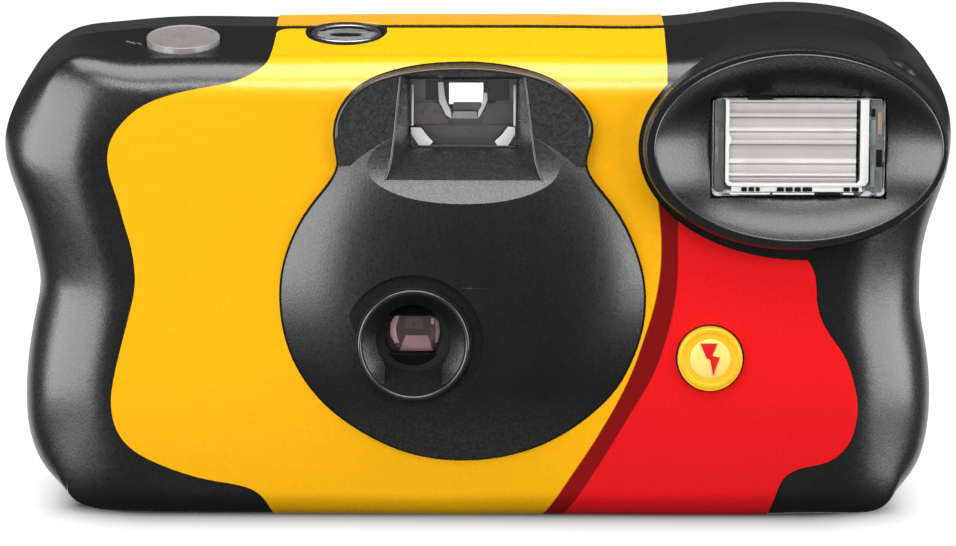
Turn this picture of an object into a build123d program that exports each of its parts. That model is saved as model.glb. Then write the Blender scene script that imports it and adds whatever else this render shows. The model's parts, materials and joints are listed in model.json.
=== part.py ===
from build123d import *
import math
import os

# ------------------------------------------------------------------
# Single-use flash film camera.  Millimetres.  +X to the viewer's right
# when the lens faces the viewer, the lens looks along -Y, +Z is up.
# Origin: centre of the bounding box's bottom face.
# ------------------------------------------------------------------

# --- driving dimensions -------------------------------------------
WIDTH = 120.0            # overall, X
DEPTH = 37.0             # overall, Y
TOP_Z = 60.4             # flat part of the top
HUMP_Z = 62.2            # top of the flash hump
WALL = 1.5               # cover wall
Y_FACE = -14.5           # flat front face of the front cover
Y_PART = 1.5             # parting plane of the two covers
Y_REAR = 17.6            # flat rear face
DOME_Y = -18.5           # crown of the round lens panel
DISC_X, DISC_Z, DISC_R = -1.87, 30.0, 22.9
PLATE_Y = -15.95         # flat plate round the viewfinder window
LENS_X, LENS_Z = -8.1, 23.1
RIM_X, RIM_Z = -7.98, 22.8   # raised rim and dish round the lens opening
FILM_Z = 23.5            # middle of the film
FILM_Y = 14.9            # film plane
CART_X, CART_Y, CART_R = -38.6, 2.3, 12.6    # 135 film cartridge
CART_Z0, CART_Z1 = 3.0, 45.2
ROLL_X, ROLL_Y, ROLL_R = 38.5, 5.0, 9.1       # unexposed film roll
FL_X, FL_Z, FL_A, FL_B = 39.9, 47.3, 18.6, 12.5   # oval flash rim
FW_X = 39.7              # middle of the flash window
FL_Y = -18.2
BTN_X, BTN_Y, BTN_R = -37.1, -4.2, 4.6        # shutter button
WIN_X, WIN_Y, WIN_R = -16.7, -1.0, 4.6        # counter window
FB_X, FB_Z, FB_R = 29.0, 20.6, 4.05           # flash button
VF_X = -1.9              # middle of the viewfinder
BAT_X, BAT_Y, BAT_Z, BAT_R = -23.2, -5.4, 8.95, 7.1         # AA cell, left end
LABEL_T = 0.18

os.makedirs("parts", exist_ok=True)


# --- small helpers ------------------------------------------------
def bx(x0, x1, y0, y1, z0, z1):
    return Pos((x0 + x1) / 2, (y0 + y1) / 2, (z0 + z1) / 2) * Box(x1 - x0, y1 - y0, z1 - z0)


def cz(x, y, r, z0, z1):
    return Pos(x, y, (z0 + z1) / 2) * Cylinder(r, z1 - z0)


def cy(x, z, r, y0, y1):
    return Pos(x, (y0 + y1) / 2, z) * Rot(90, 0, 0) * Cylinder(r, y1 - y0)


def cx(y, z, r, x0, x1):
    return Pos((x0 + x1) / 2, y, z) * Rot(0, 90, 0) * Cylinder(r, x1 - x0)


def cone_y(x, z, y0, r0, y1, r1):
    """truncated cone along Y, radius r0 at y0 and r1 at y1 (y1 > y0)"""
    return Pos(x, (y0 + y1) / 2, z) * Rot(-90, 0, 0) * Cone(r0, r1, y1 - y0)


def prism_y(pts, y0, y1):
    w = Wire.make_polygon([Vector(x, y0, z) for x, z in pts], close=True)
    return Solid.extrude(Face(w), Vector(0, y1 - y0, 0))


def prism_z(pts, z0, z1):
    w = Wire.make_polygon([Vector(x, y, z0) for x, y in pts], close=True)
    return Solid.extrude(Face(w), Vector(0, 0, z1 - z0))


def prism_x(pts, x0, x1):
    w = Wire.make_polygon([Vector(x0, y, z) for y, z in pts], close=True)
    return Solid.extrude(Face(w), Vector(x1 - x0, 0, 0))


def spline_prism_y(pts, y0, y1):
    e = Edge.make_spline([Vector(x, y0, z) for x, z in pts], periodic=True)
    return Solid.extrude(Face(Wire([e])), Vector(0, y1 - y0, 0))


def ell_prism_y(x, z, a, b, y0, y1):
    return extrude(Plane(origin=(x, y1, z), x_dir=(1, 0, 0), z_dir=(0, -1, 0)) * Ellipse(a, b), y1 - y0)


# --- body outline -------------------------------------------------
# Matching points of three closed curves, each (x, z): the widest outline at
# the parting plane, the edge of the flat front face, the edge of the flat rear face.
OUT = [  # outer            front flat       rear flat
    ((0, -0.12), (0, 3.4), (0, 4.2)),
    ((18, -0.12), (17, 3.4), (18, 4.2)),
    ((34, -0.12), (31, 3.5), (33, 4.2)),
    ((45.5, 0.1), (39.0, 4.6), (43.5, 4.4)),
    ((51.8, 1.3), (42.4, 7.0), (48.3, 5.6)),
    ((55.4, 4.1), (44.4, 10.2), (51.2, 8.0)),
    ((57.1, 8.6), (45.6, 13.0), (52.6, 11.0)),
    ((57.5, 13.8), (45.9, 16.6), (53.2, 15.0)),
    ((56.9, 20.3), (45.4, 21.4), (52.8, 20.6)),
    ((56.1, 25.0), (44.7, 25.2), (52.0, 25.2)),
    ((56.0, 28.4), (44.6, 28.6), (51.9, 28.5)),
    ((56.2, 32.0), (45.2, 31.8), (52.4, 31.8)),
    ((57.3, 37.0), (46.6, 36.2), (53.4, 36.6)),
    ((59.0, 42.0), (48.0, 40.4), (54.6, 41.2)),
    ((59.7, 46.8), (48.2, 44.4), (55.2, 45.6)),
    ((58.6, 52.6), (46.8, 48.0), (53.9, 50.0)),
    ((55.0, 57.6), (44.0, 50.8), (50.8, 53.8)),
    ((49.6, 60.8), (40.0, 52.6), (46.6, 56.4)),
    ((42.5, 62.2), (35.4, 53.2), (41.0, 57.2)),
    ((35.5, 62.1), (30.6, 53.2), (34.6, 56.9)),
    ((28.5, 60.95), (26.2, 53.0), (28.0, 56.3)),
    ((22.5, 60.4), (21.0, 53.0), (22.0, 55.9)),
    ((12.0, 60.4), (11.0, 53.0), (12.0, 55.8)),
    ((0, 60.4), (0, 53.0), (0, 55.8)),
    ((-14, 60.35), (-13, 53.0), (-14, 55.8)),
    ((-28, 60.2), (-25, 53.0), (-27, 55.8)),
    ((-40, 60.1), (-35, 52.9), (-38.5, 55.7)),
    ((-46.6, 59.5), (-40, 52.2), (-44.5, 55.2)),
    ((-52.0, 58.5), (-43.6, 51.0), (-48.7, 53.8)),
    ((-55.95, 55.2), (-46.2, 49.2), (-51.9, 51.6)),
    ((-58.4, 51.0), (-47.8, 47.0), (-54.2, 48.6)),
    ((-59.8, 46.0), (-48.2, 44.2), (-55.2, 45.0)),
    ((-59.0, 41.6), (-47.8, 40.8), (-54.7, 41.2)),
    ((-57.05, 36.0), (-46.6, 35.8), (-53.4, 36.0)),
    ((-56.0, 31.6), (-45.2, 31.8), (-52.3, 31.8)),
    ((-55.5, 28.3), (-44.6, 28.6), (-51.9, 28.5)),
    ((-56.0, 24.8), (-44.8, 25.2), (-52.1, 25.2)),
    ((-56.95, 19.6), (-45.5, 21.0), (-52.9, 20.2)),
    ((-57.4, 13.8), (-46.0, 16.6), (-53.3, 15.0)),
    ((-56.9, 8.3), (-45.6, 13.0), (-52.6, 11.0)),
    ((-54.8, 4.0), (-44.4, 10.2), (-51.2, 8.0)),
    ((-50.8, 1.35), (-42.4, 7.0), (-48.3, 5.6)),
    ((-45.5, 0.1), (-39.0, 4.6), (-43.5, 4.4)),
    ((-34, -0.12), (-31, 3.5), (-33, 4.2)),
    ((-18, -0.12), (-17, 3.4), (-18, 4.2)),
]
N = len(OUT)


def offset_in(pts, d):
    """each point of a closed curve moved inwards by d along the curve's normal"""
    out = []
    for i in range(len(pts)):
        x0, z0 = pts[i - 1]
        x1, z1 = pts[(i + 1) % len(pts)]
        tx, tz = x1 - x0, z1 - z0
        l = math.hypot(tx, tz)
        out.append((pts[i][0] - tz / l * d, pts[i][1] + tx / l * d))
    return out


def arc_w(t):
    t = min(1.0, max(0.0, t))
    return 1.0 - math.sqrt(max(0.0, 1.0 - t * t))


def weights(x, z):
    """how much a point of the outline belongs to the top, and to the bottom"""
    top = min(1.0, max(0.0, (z - 52.0) / 7.0)) if z > 30 else 0.0
    bot = min(1.0, max(0.0, (6.0 - z) / 5.0)) if z < 30 else 0.0
    s = lambda v: v * v * (3 - 2 * v)
    return s(top), s(bot)


def front_w(u, x, z, fz):
    top, bot = weights(x, z)
    side_v = arc_w((u - 0.19) / 0.81)
    bot_v = arc_w((u - 0.74) / 0.26)
    crease = min(0.34, max(0.08, (z - 57.7) / max(0.5, z - fz)))     # the top's front crease stays level
    if u < 0.70:
        top_v = crease * u / 0.70
    else:
        top_v = crease + (1.0 - crease) * arc_w((u - 0.70) / 0.30)
    side = max(0.0, 1 - top - bot)
    return side * side_v + top * top_v + bot * bot_v


def rear_w(u, x, z, fz):
    return arc_w((u - 0.62) / 0.38)


U_FRONT = [0.0, 0.06, 0.13, 0.19, 0.27, 0.38, 0.50, 0.61, 0.69, 0.755, 0.81, 0.86, 0.91, 0.955, 0.985, 1.0]
U_REAR = [0.62, 0.68, 0.75, 0.82, 0.88, 0.93, 0.965, 0.99, 1.0]


def section(front, u, y, d):
    """closed spline of the shell at depth fraction u, drawn at y, moved inwards by d"""
    outer = offset_in([p[0] for p in OUT], d)
    flat = offset_in([p[1 if front else 2] for p in OUT], d * 0.35)
    pts = []
    for i in range(N):
        ox, oz = OUT[i][0]
        w = (front_w if front else rear_w)(u, ox, oz, OUT[i][1][1])
        pts.append(Vector(outer[i][0] + (flat[i][0] - outer[i][0]) * w, y, outer[i][1] + (flat[i][1] - outer[i][1]) * w))
    return Wire([Edge.make_spline(pts, periodic=True)])


def shell_solid(front, d=0.0):
    """solid filled by the front or rear cover's outer surface moved inwards by d"""
    y_end = (Y_FACE if front else Y_REAR)
    dy = d if front else -d
    wires = []
    for u in (U_FRONT if front else U_REAR):
        y = Y_PART + (y_end + dy - Y_PART) * u
        wires.append(section(front, u, y, d))
    if front:
        body = Solid.make_loft(wires, ruled=False)
    else:
        # straight walls first, then the rounding
        y1 = Y_PART + (y_end + dy - Y_PART) * U_REAR[0]
        base = section(False, 0.0, Y_PART, d)
        body = Solid.extrude(Face(base), Vector(0, y1 - Y_PART, 0)) + Solid.make_loft(wires, ruled=False)
    return body if d > 0 else body & bx(-90, 90, -60, 60, 0, 90)


def crown_y(r):
    """depth of the crowned lens panel at radius r from its centre"""
    q = r / DISC_R
    return DOME_Y + 1.2 * q ** 2 + 2.5 * q ** 4


NODES = {}


def put(name, shape):
    NODES[name] = shape


# ==================================================================
# covers
# ==================================================================
outer_f = shell_solid(True)
outer_r = shell_solid(False)
inner_f = shell_solid(True, WALL)
inner_r = shell_solid(False, WALL)
clear_f = shell_solid(True, WALL + 0.35)
clear_r = shell_solid(False, WALL + 0.35)
INSIDE = clear_f + clear_r       # room for everything inside


# --- front cover ----------------------------------------------------
# outline of the lens panel: the round disc and the lobe above it in one smooth curve
PANEL = [(-1.86, 57.45), (-6.21, 57.25), (-10.31, 56.6), (-13.3, 55.6), (-15.6, 54.1), (-17.1, 52.2), (-17.85, 50.2), (-18.0, 48.1),
         (-17.75, 46.3), (-17.6, 44.9), (-18.25, 43.2), (-19.75, 41.18), (-21.61, 38.66), (-23.4, 35.13), (-24.45, 31.59),
         (-24.72, 27.4), (-24.22, 23.65), (-23.04, 20.12), (-20.99, 16.7), (-18.3, 13.8), (-14.7, 11.2), (-8.9, 8.5), (-1.86, 7.5),
         (5.3, 8.5), (11.1, 11.1), (14.7, 13.8), (17.39, 16.7), (19.25, 20.12), (20.45, 23.65), (20.93, 27.4), (20.5, 31.59),
         (19.35, 35.13), (17.6, 38.66), (15.78, 41.18), (14.2, 43.2), (13.5, 44.9), (13.6, 46.3), (14.1, 48.1), (14.15, 50.2),
         (13.2, 52.2), (11.4, 54.1), (8.95, 55.65), (6.2, 56.6), (2.3, 57.25)]
PANEL_IN = offset_in(PANEL, 0.24)        # the panel itself, a gap away from the label
profile = [Vector(28.5 * k / 19, crown_y(28.5 * k / 19), 0) for k in range(20)]
crown_face = Face(Wire([Edge.make_spline(profile, tangents=[Vector(1, 0, 0), profile[-1] - profile[-2]]),
                        Edge.make_line(profile[-1], Vector(28.5, -4, 0)), Edge.make_line(Vector(28.5, -4, 0), Vector(0, -4, 0)),
                        Edge.make_line(Vector(0, -4, 0), profile[0])]))
crown = Pos(DISC_X, 0, DISC_Z) * Solid.revolve(crown_face, 360, Axis.Y)
panel = crown & spline_prism_y(PANEL_IN, -19.5, -12.9)
lobe = spline_prism_y(PANEL_IN, PLATE_Y, -8.6) & bx(-30, 30, -20, 0, 44.9, 70)


def ell_loft(rows):
    wires = [Wire([Edge.make_ellipse(a, b, Plane(origin=(x, y, z), x_dir=(1, 0, 0), z_dir=(0, -1, 0)))]) for y, x, z, a, b in rows]
    return Solid.make_loft(wires, ruled=False)


housing = ell_loft([(FL_Y, 39.3, 47.4, 18.5, 12.35), (-17.9, 39.27, 47.4, 18.72, 12.52), (-17.6, 39.25, 47.4, 18.84, 12.62), (-17.3, 39.25, 47.4, 18.9, 12.7)])
housing = housing + ell_loft([(-17.3, 39.25, 47.4, 18.9, 12.7), (-12.6, 39.4, 47.4, 19.0, 13.0), (-7.9, 39.5, 47.35, 19.15, 13.4),
                              (-3.2, 39.6, 47.3, 19.3, 13.9), (Y_PART, 39.7, 47.3, 19.45, 14.25)])
housing_in = ell_loft([
    (-11.6, 40.0, 47.2, 17.1, 11.4), (-8.0, 40.0, 47.3, 17.4, 11.9), (-2.0, 40.0, 47.3, 17.8, 12.4),
    (Y_PART + 0.01, 40.0, 47.3, 18.0, 12.7)])
bowl = Pos(39.6, FL_Y - 4.0, 47.55) * scale(Sphere(1.0), by=(19.70, 9.0, 12.84))
flash_pad = ell_prism_y(39.9, 47.2, 18.2, 12.2, -13.3, -11.6)
finder_pad = bx(-13.0, 9.2, -13.3, -9.8, 43.3, 57.9) & outer_f
ring = cy(RIM_X, RIM_Z, 7.1, -18.3, -13.6)
groove = cy(RIM_X, RIM_Z, 8.8, -19.5, -17.6) - cy(RIM_X, RIM_Z, 7.1, -20, -17.0)
lens_flat = cy(RIM_X, RIM_Z, 7.1, -19.6, -18.3)
dish = cone_y(RIM_X, RIM_Z, -18.31, 6.35, -16.4, 4.62)
# the dish has a level floor
dish = dish - bx(RIM_X - 8, RIM_X + 8, -19, -12, RIM_Z - 8, RIM_Z - 4.95)
dish = dish + bx(RIM_X - 3.6, RIM_X + 3.6, -18.31, -14.2, RIM_Z - 4.95, RIM_Z)
lens_hole = cy(LENS_X, LENS_Z, 4.6, -16.6, -12.0)
finder_cut = Solid.make_loft([
    Wire.make_polygon([Vector(-12.66, -19.4, 41.75), Vector(9.0, -19.4, 41.75), Vector(6.3, -19.4, 56.9), Vector(-10.53, -19.4, 56.9)], close=True),
    Wire.make_polygon([Vector(-8.6, -11.4, 46.8), Vector(4.9, -11.4, 46.8), Vector(4.9, -11.4, 55.3), Vector(-8.6, -11.4, 55.3)], close=True)], ruled=True)
finder_hole = bx(-8.6, 4.9, -11.5, -9.0, 46.8, 55.3)
# sloping facet below the viewfinder; it runs into the flat plate in a soft curve
FACET_X0 = VF_X - 19
bend = Edge.make_spline([Vector(FACET_X0, -17.25, 42.6), Vector(FACET_X0, PLATE_Y - 0.325, 45.7), Vector(FACET_X0, PLATE_Y, 48.8)],
                        tangents=[Vector(0, 3.65, 8.7), Vector(0, 0, 1)])
facet_face = Face(Wire([Edge.make_line(Vector(FACET_X0, -19.6, 37.0), Vector(FACET_X0, -17.25, 42.6)), bend,
                        Edge.make_line(Vector(FACET_X0, PLATE_Y, 48.8), Vector(FACET_X0, PLATE_Y, 62.0)),
                        Edge.make_line(Vector(FACET_X0, PLATE_Y, 62.0), Vector(FACET_X0, -19.6, 62.0)),
                        Edge.make_line(Vector(FACET_X0, -19.6, 62.0), Vector(FACET_X0, -19.6, 37.0))]))
facet = Solid.extrude(facet_face, Vector(38, 0, 0))
flash_hole = bx(FW_X - 10.95, FW_X + 10.95, -19.0, -11.0, 47.3 - 6.35, 47.3 + 6.35)
flash_btn_hole = cy(FB_X, FB_Z, FB_R + 0.15, -15.5, -12.0)
shutter_hole = cz(BTN_X, BTN_Y, BTN_R + 0.2, 54.0, 63.0)
window_hole = cz(WIN_X, WIN_Y, WIN_R + 0.1, 55.5, 63.0)

front_cover = outer_f + housing + lobe + panel
front_cover = front_cover - (inner_f - flash_pad - finder_pad) - housing_in
front_cover = front_cover + (ring - inner_f)
for c in (lens_flat, groove, dish, lens_hole, bowl, flash_hole, facet, finder_cut, finder_hole, flash_btn_hole, shutter_hole, window_hole):
    front_cover = front_cover - c

# --- rear cover -----------------------------------------------------
scoop = Pos(CART_X, 19.6, 52.1) * scale(Sphere(1.0), by=(11.2, 5.8, 5.54))
scoop_pad = Pos(CART_X, 19.6, 52.1) * scale(Sphere(1.0), by=(12.5, 7.0, 6.7))
scoop_room = Pos(CART_X, 19.6, 52.1) * scale(Sphere(1.0), by=(12.9, 7.4, 7.1))
EYE_X, EYE_Z = -1.6, 49.7
eye_frame = bx(EYE_X - 6.0, EYE_X + 6.0, 15.9, 18.5, EYE_Z - 4.6, EYE_Z + 4.6)
eye_hole = bx(EYE_X - 3.6, EYE_X + 3.6, 15.0, 17.2, EYE_Z - 2.6, EYE_Z + 2.6) + bx(EYE_X - 2.2, EYE_X + 2.2, 17.1, 17.6, EYE_Z - 1.4, EYE_Z + 1.4)
eye_flare = Solid.make_loft([
    Wire.make_polygon([Vector(EYE_X - 2.2, 17.5, EYE_Z - 1.4), Vector(EYE_X + 2.2, 17.5, EYE_Z - 1.4), Vector(EYE_X + 2.2, 17.5, EYE_Z + 1.4), Vector(EYE_X - 2.2, 17.5, EYE_Z + 1.4)], close=True),
    Wire.make_polygon([Vector(EYE_X - 4.4, 18.6, EYE_Z - 3.4), Vector(EYE_X + 4.4, 18.6, EYE_Z - 3.4), Vector(EYE_X + 4.4, 18.6, EYE_Z + 3.4), Vector(EYE_X - 4.4, 18.6, EYE_Z + 3.4)], close=True)], ruled=True)
rear_cover = outer_r + eye_frame
rear_cover = rear_cover - (inner_r - scoop_pad)
rear_cover = rear_cover - scoop - bx(CART_X - 8.6, CART_X + 8.6, 10.0, 16.0, 50.2, 54.0)
rear_cover = rear_cover - eye_hole - eye_flare - window_hole - cy(13.0, 50.5, 1.6, 15, 18)
# pressure rails that keep the film flat against the gate
for z in (9.0, 17.0, 30.0, 38.0):
    rear_cover = rear_cover + bx(-27.0, 13.0, 15.25, 16.3, z - 0.6, z + 0.6)
# wall of the bottom left open round the film door
DOOR_X0, DOOR_X1, DOOR_Y0, DOOR_Y1 = -51.6, -25.2, -11.4, 13.4
shell_both = (outer_f - inner_f) + (outer_r - inner_r)
HINGE_X, HINGE_Z = -25.2, 1.6
door_box = bx(DOOR_X0, DOOR_X1, DOOR_Y0, DOOR_Y1, -1, 4.6)
door_gap = bx(DOOR_X0 - 0.3, DOOR_X1 + 1.6, DOOR_Y0 - 0.25, DOOR_Y1 + 0.25, -1, 5.0)
film_door = shell_both & door_box
film_door = film_door - bx(HINGE_X - 1.4, HINGE_X + 2, -20, 20, -1, 5)
film_door = film_door + (Pos(HINGE_X, (DOOR_Y0 + DOOR_Y1) / 2, HINGE_Z) * Rot(90, 0, 0) * Cylinder(1.2, DOOR_Y1 - DOOR_Y0 - 3.0))
film_door = film_door + bx(HINGE_X - 1.6, HINGE_X, DOOR_Y0 + 1.5, DOOR_Y1 - 1.5, 0.2, 1.5)
film_door = film_door + cy(HINGE_X, HINGE_Z, 0.55, -12.0, 14.3)
front_cover = front_cover - door_gap
rear_cover = rear_cover - door_gap
lug_f = bx(HINGE_X - 1.1, HINGE_X + 2.6, -12.4, DOOR_Y0 + 1.1, 0.6, 3.1) - cy(HINGE_X, HINGE_Z, 0.62, -20, 20)
lug_r = bx(HINGE_X - 1.1, HINGE_X + 2.6, DOOR_Y1 - 1.1, DOOR_Y1 + 1.2, 1.0, 3.1) - cy(HINGE_X, HINGE_Z, 0.62, -20, 20)
cart_room = cz(CART_X, CART_Y, CART_R + 0.25, CART_Z0 - 0.2, 46.0)
pin_hole = cy(HINGE_X, HINGE_Z, 0.62, -12.1, 14.4)
front_cover = front_cover + lug_f - pin_hole - cart_room
rear_cover = rear_cover + lug_r - pin_hole - cart_room
film_door = film_door - cart_room

put("front_cover", front_cover)
put("rear_cover", rear_cover)
put("film_door", film_door)

# --- labels ---------------------------------------------------------
LABEL_LEFT = [(-25.4, 60.9), (-25.55, 59.3), (-25.8, 58.3), (-26.2, 57.45), (-27.0, 56.7), (-28.15, 56.05), (-29.6, 55.4), (-32.6, 54.65), (-36.4, 53.95),
              (-39.4, 53.1), (-41.3, 52.3), (-42.7, 51.4), (-44.1, 50.1), (-45.7, 47.6), (-46.07, 45.4), (-45.7, 42.9), (-44.88, 40.4), (-44.04, 37.3), (-43.3, 34.8),
              (-42.85, 32.2), (-42.74, 30.3), (-43.02, 27.8), (-43.6, 25.5), (-44.3, 22.7), (-44.95, 20.2), (-45.5, 17.7), (-45.85, 15.1), (-45.67, 12.8), (-44.8, 10.5),
              (-43.2, 8.7), (-40.84, 7.3), (-37.35, 5.9), (-33.5, 4.85), (-29.84, 4.2), (-27.5, 3.2), (-26.4, 1.9), (-25.8, 0.7), (-25.6, 0.25)]
LABEL_RIGHT = [(36.5, 0.25), (36.9, 1.6), (37.5, 3.4), (38.5, 5.4), (40.35, 6.5), (44.1, 7.5), (46.3, 9.4), (47.3, 11.9), (47.5, 15.1), (46.8, 18.3), (45.6, 21.2),
               (44.4, 22.9), (43.2, 24.8), (42.3, 27.6), (42.0, 31.0), (41.2, 32.8), (40.0, 33.9)]
label_skin = shell_solid(True, -LABEL_T) - outer_f
y_front = -16.0
left_e = Edge.make_spline([Vector(x, y_front, z) for x, z in LABEL_LEFT])
right_e = Edge.make_spline([Vector(x, y_front, z) for x, z in LABEL_RIGHT])
top_right = [LABEL_RIGHT[-1], (40.0, 40.0), (23.4, 40.0), (23.4, 60.9), LABEL_LEFT[0]]
lines = [Edge.make_line(Vector(a[0], y_front, a[1]), Vector(b[0], y_front, b[1])) for a, b in zip(top_right, top_right[1:])]
base_e = Edge.make_line(Vector(-25.6, y_front, 0.25), Vector(36.5, y_front, 0.25))
label_blank = Solid.extrude(Face(Wire([left_e, base_e, right_e] + lines)), Vector(0, 16.0, 0))
front_label = label_skin & label_blank
flash_edge = ell_prism_y(40.6, 47.1, 20.75, 14.1, -17, 1)
front_label = front_label - spline_prism_y(offset_in(PANEL, -0.04), -20, 2) - flash_edge
front_label = front_label - cy(FB_X, FB_Z, FB_R + 0.25, -20, 2) - cz(WIN_X, WIN_Y, WIN_R + 0.6, 40, 70)
front_label = front_label - (bx(-28.0, -23.7, -1.8, 0.3, 50, 70) - cz(-23.7, -1.8, 1.8, 49, 71))
put("front_label", front_label)
rear_skin_out = shell_solid(False, -LABEL_T) - outer_r
back_label = rear_skin_out & (bx(-25.6, 23.4, 1.9, 19.0, 8.0, 62.0))
back_label = back_label - bx(EYE_X - 6.6, EYE_X + 6.6, 15.0, 20, EYE_Z - 5.2, EYE_Z + 5.2) - cz(WIN_X, WIN_Y, WIN_R + 0.6, 40, 70)
back_label = back_label - cy(13.0, 50.5, 2.2, 15, 20)
back_label = back_label - (Pos(CART_X, 19.6, 52.1) * scale(Sphere(1.0), by=(14.0, 9.0, 7.6)))
put("back_label", back_label)

# --- controls and windows -------------------------------------------
top_plane_cut = prism_x([(-14.0, 57.45), (4.0, 61.15), (4.0, 70.0), (-14.0, 70.0)], -60, 0)
shutter_button = (cz(BTN_X, BTN_Y, BTN_R, 55.6, 62.0) - top_plane_cut)
shutter_button = shutter_button + cz(BTN_X, BTN_Y, 5.3, 54.95, 55.75)
shutter_button = shutter_button + bx(BTN_X, -12.6, -8.9, -5.2, 54.95, 55.75)
shutter_button = shutter_button + bx(-14.6, -12.6, -8.9, -6.4, 48.5, 55.2)
put("shutter_button", shutter_button)

# shallow crown, leaning forward with the top of the camera
lens_dome = Pos(WIN_X, WIN_Y + 7.74, 59.78 - 59.5) * Sphere(60.0)
counter_window = cz(WIN_X, WIN_Y, 5.3, 55.9, 56.55) + (cz(WIN_X, WIN_Y, WIN_R, 56.5, 62.0) & lens_dome)
put("counter_window", counter_window)

flash_button = cy(FB_X, FB_Z, FB_R, -15.3, -12.8) + cy(FB_X, FB_Z, FB_R + 0.9, -12.9, -12.2) + cy(FB_X, FB_Z, 1.4, -12.3, -11.0)
put("flash_button", flash_button)

put("viewfinder_front_lens", bx(-8.5, 4.8, -11.3, -9.9, 46.9, 55.2))
put("viewfinder_rear_lens", bx(EYE_X - 3.5, EYE_X + 3.5, 16.15, 17.1, EYE_Z - 2.5, EYE_Z + 2.5))


def frustum(y0, r0, y1, r1):
    """r = (x low, x high, z low, z high)"""
    a = Wire.make_polygon([Vector(r0[0], y0, r0[2]), Vector(r0[1], y0, r0[2]), Vector(r0[1], y0, r0[3]), Vector(r0[0], y0, r0[3])], close=True)
    b = Wire.make_polygon([Vector(r1[0], y1, r1[2]), Vector(r1[1], y1, r1[2]), Vector(r1[1], y1, r1[3]), Vector(r1[0], y1, r1[3])], close=True)
    return Solid.make_loft([a, b], ruled=True)


finder_out = frustum(-9.7, (-9.4, 5.7, 46.75, 55.9), 15.0, (EYE_X - 4.7, EYE_X + 4.7, EYE_Z - 2.95, EYE_Z + 3.6))
finder_in = frustum(-9.71, (-8.5, 4.8, 47.6, 55.1), 15.01, (EYE_X - 3.8, EYE_X + 3.8, EYE_Z - 2.2, EYE_Z + 2.8))
put("viewfinder_tube", finder_out - finder_in)

flash_lens = bx(FW_X - 10.8, FW_X + 10.8, -16.1, -11.4, 47.3 - 6.2, 47.3 + 6.2) + bx(FW_X - 12.05, FW_X + 12.05, -11.5, -10.7, 47.3 - 7.4, 47.3 + 7.4)
put("flash_lens", flash_lens)
refl_out = frustum(-10.6, (28.3, 51.1, 41.2, 53.4), -6.4, (30.2, 49.2, 44.6, 50.0))
refl_in = frustum(-10.61, (28.8, 50.6, 41.7, 52.9), -6.9, (30.7, 48.7, 45.1, 49.5))
flash_reflector = refl_out - refl_in - cx(-8.6, 47.3, 1.3, 26.7, 52.7)
put("flash_reflector", flash_reflector)
put("flash_tube", cx(-8.6, 47.3, 1.2, 27.3, 52.1))

# --- main frame -----------------------------------------------------
FRAME_Y0, FRAME_Y1 = -8.9, 14.7
tun_out = frustum(FRAME_Y0, (LENS_X - 4.8, LENS_X + 4.8, LENS_Z - 4.8, LENS_Z + 4.8), FRAME_Y1, (-27.3, 11.3, 10.4, 36.2))
tun_in = frustum(-7.0, (LENS_X - 2.6, LENS_X + 2.6, LENS_Z - 2.6, LENS_Z + 2.6), FRAME_Y1 + 0.01, (-26.0, 10.0, 11.6, 35.0))
main_frame = tun_out - tun_in
main_frame = main_frame - cy(LENS_X, LENS_Z, 3.3, -9.0, -7.0) - cy(LENS_X, LENS_Z, 2.2, -7.1, -6.0)
# cartridge chamber, open below
chamber = cz(CART_X, CART_Y, 13.95, 6.0, 46.5) - cz(CART_X, CART_Y, 12.95, 5.0, 45.5)
chamber = chamber - bx(-38.4, -20.0, 13.6, 17.0, 4.4, 45.0)          # film slot
main_frame = main_frame + chamber
# supply chamber
supply = cz(ROLL_X, ROLL_Y, 10.95, 3.6, 43.3) - cz(ROLL_X, ROLL_Y, 10.0, 4.7, 42.2)
supply = supply - bx(24.0, 39.5, 11.2, 17.0, 4.7, 42.2)
main_frame = main_frame + supply - cz(ROLL_X, ROLL_Y, 1.57, 3.0, 44.0)
# film rails above and below the gate
main_frame = main_frame + bx(-28.5, 29.0, 13.2, 14.7, 36.0, 41.8) + bx(-28.5, 29.0, 13.2, 14.7, 4.9, 10.6)
main_frame = main_frame + bx(9.8, 29.0, 13.2, 14.7, 5.0, 41.0)
# top deck and the webs that carry it
main_frame = main_frame + bx(-52.0, 24.0, -12.0, 15.6, 45.5, 46.5)
main_frame = main_frame + bx(-27.5, 29.0, 12.2, 14.7, 41.0, 45.6) + bx(20.5, 22.0, -6.0, 14.0, 41.0, 46.0) + bx(22.0, 30.0, 0.0, 12.0, 42.2, 43.3)
main_frame = main_frame + bx(20.5, 22.2, -4.0, 0.5, 42.2, 43.3)
# floor under the battery, end walls of its cradle
main_frame = main_frame + bx(-24.6, 29.3, 1.0, 3.4, 1.9, 6.0) + bx(-24.7, -23.8, -11.5, 3.0, 1.9, 14.0) + bx(28.2, 29.3, -11.5, 1.5, 1.9, 14.5)
main_frame = main_frame + bx(-24.0, -22.8, 3.0, 14.0, 4.9, 12.5) + bx(16.0, 17.2, 3.0, 14.0, 4.9, 6.5)
# shutter post plate around the lens seat
main_frame = main_frame + (bx(-20.0, 3.0, -8.9, -7.7, 17.4, 36.5) - cy(LENS_X, LENS_Z, 3.3, -9.0, -7.0))
main_frame = main_frame + bx(-20.0, -18.8, -8.9, 2.0, 33.0, 45.6) + bx(1.8, 3.0, -8.9, 2.0, 33.0, 45.6)
main_frame = main_frame & INSIDE
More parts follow.
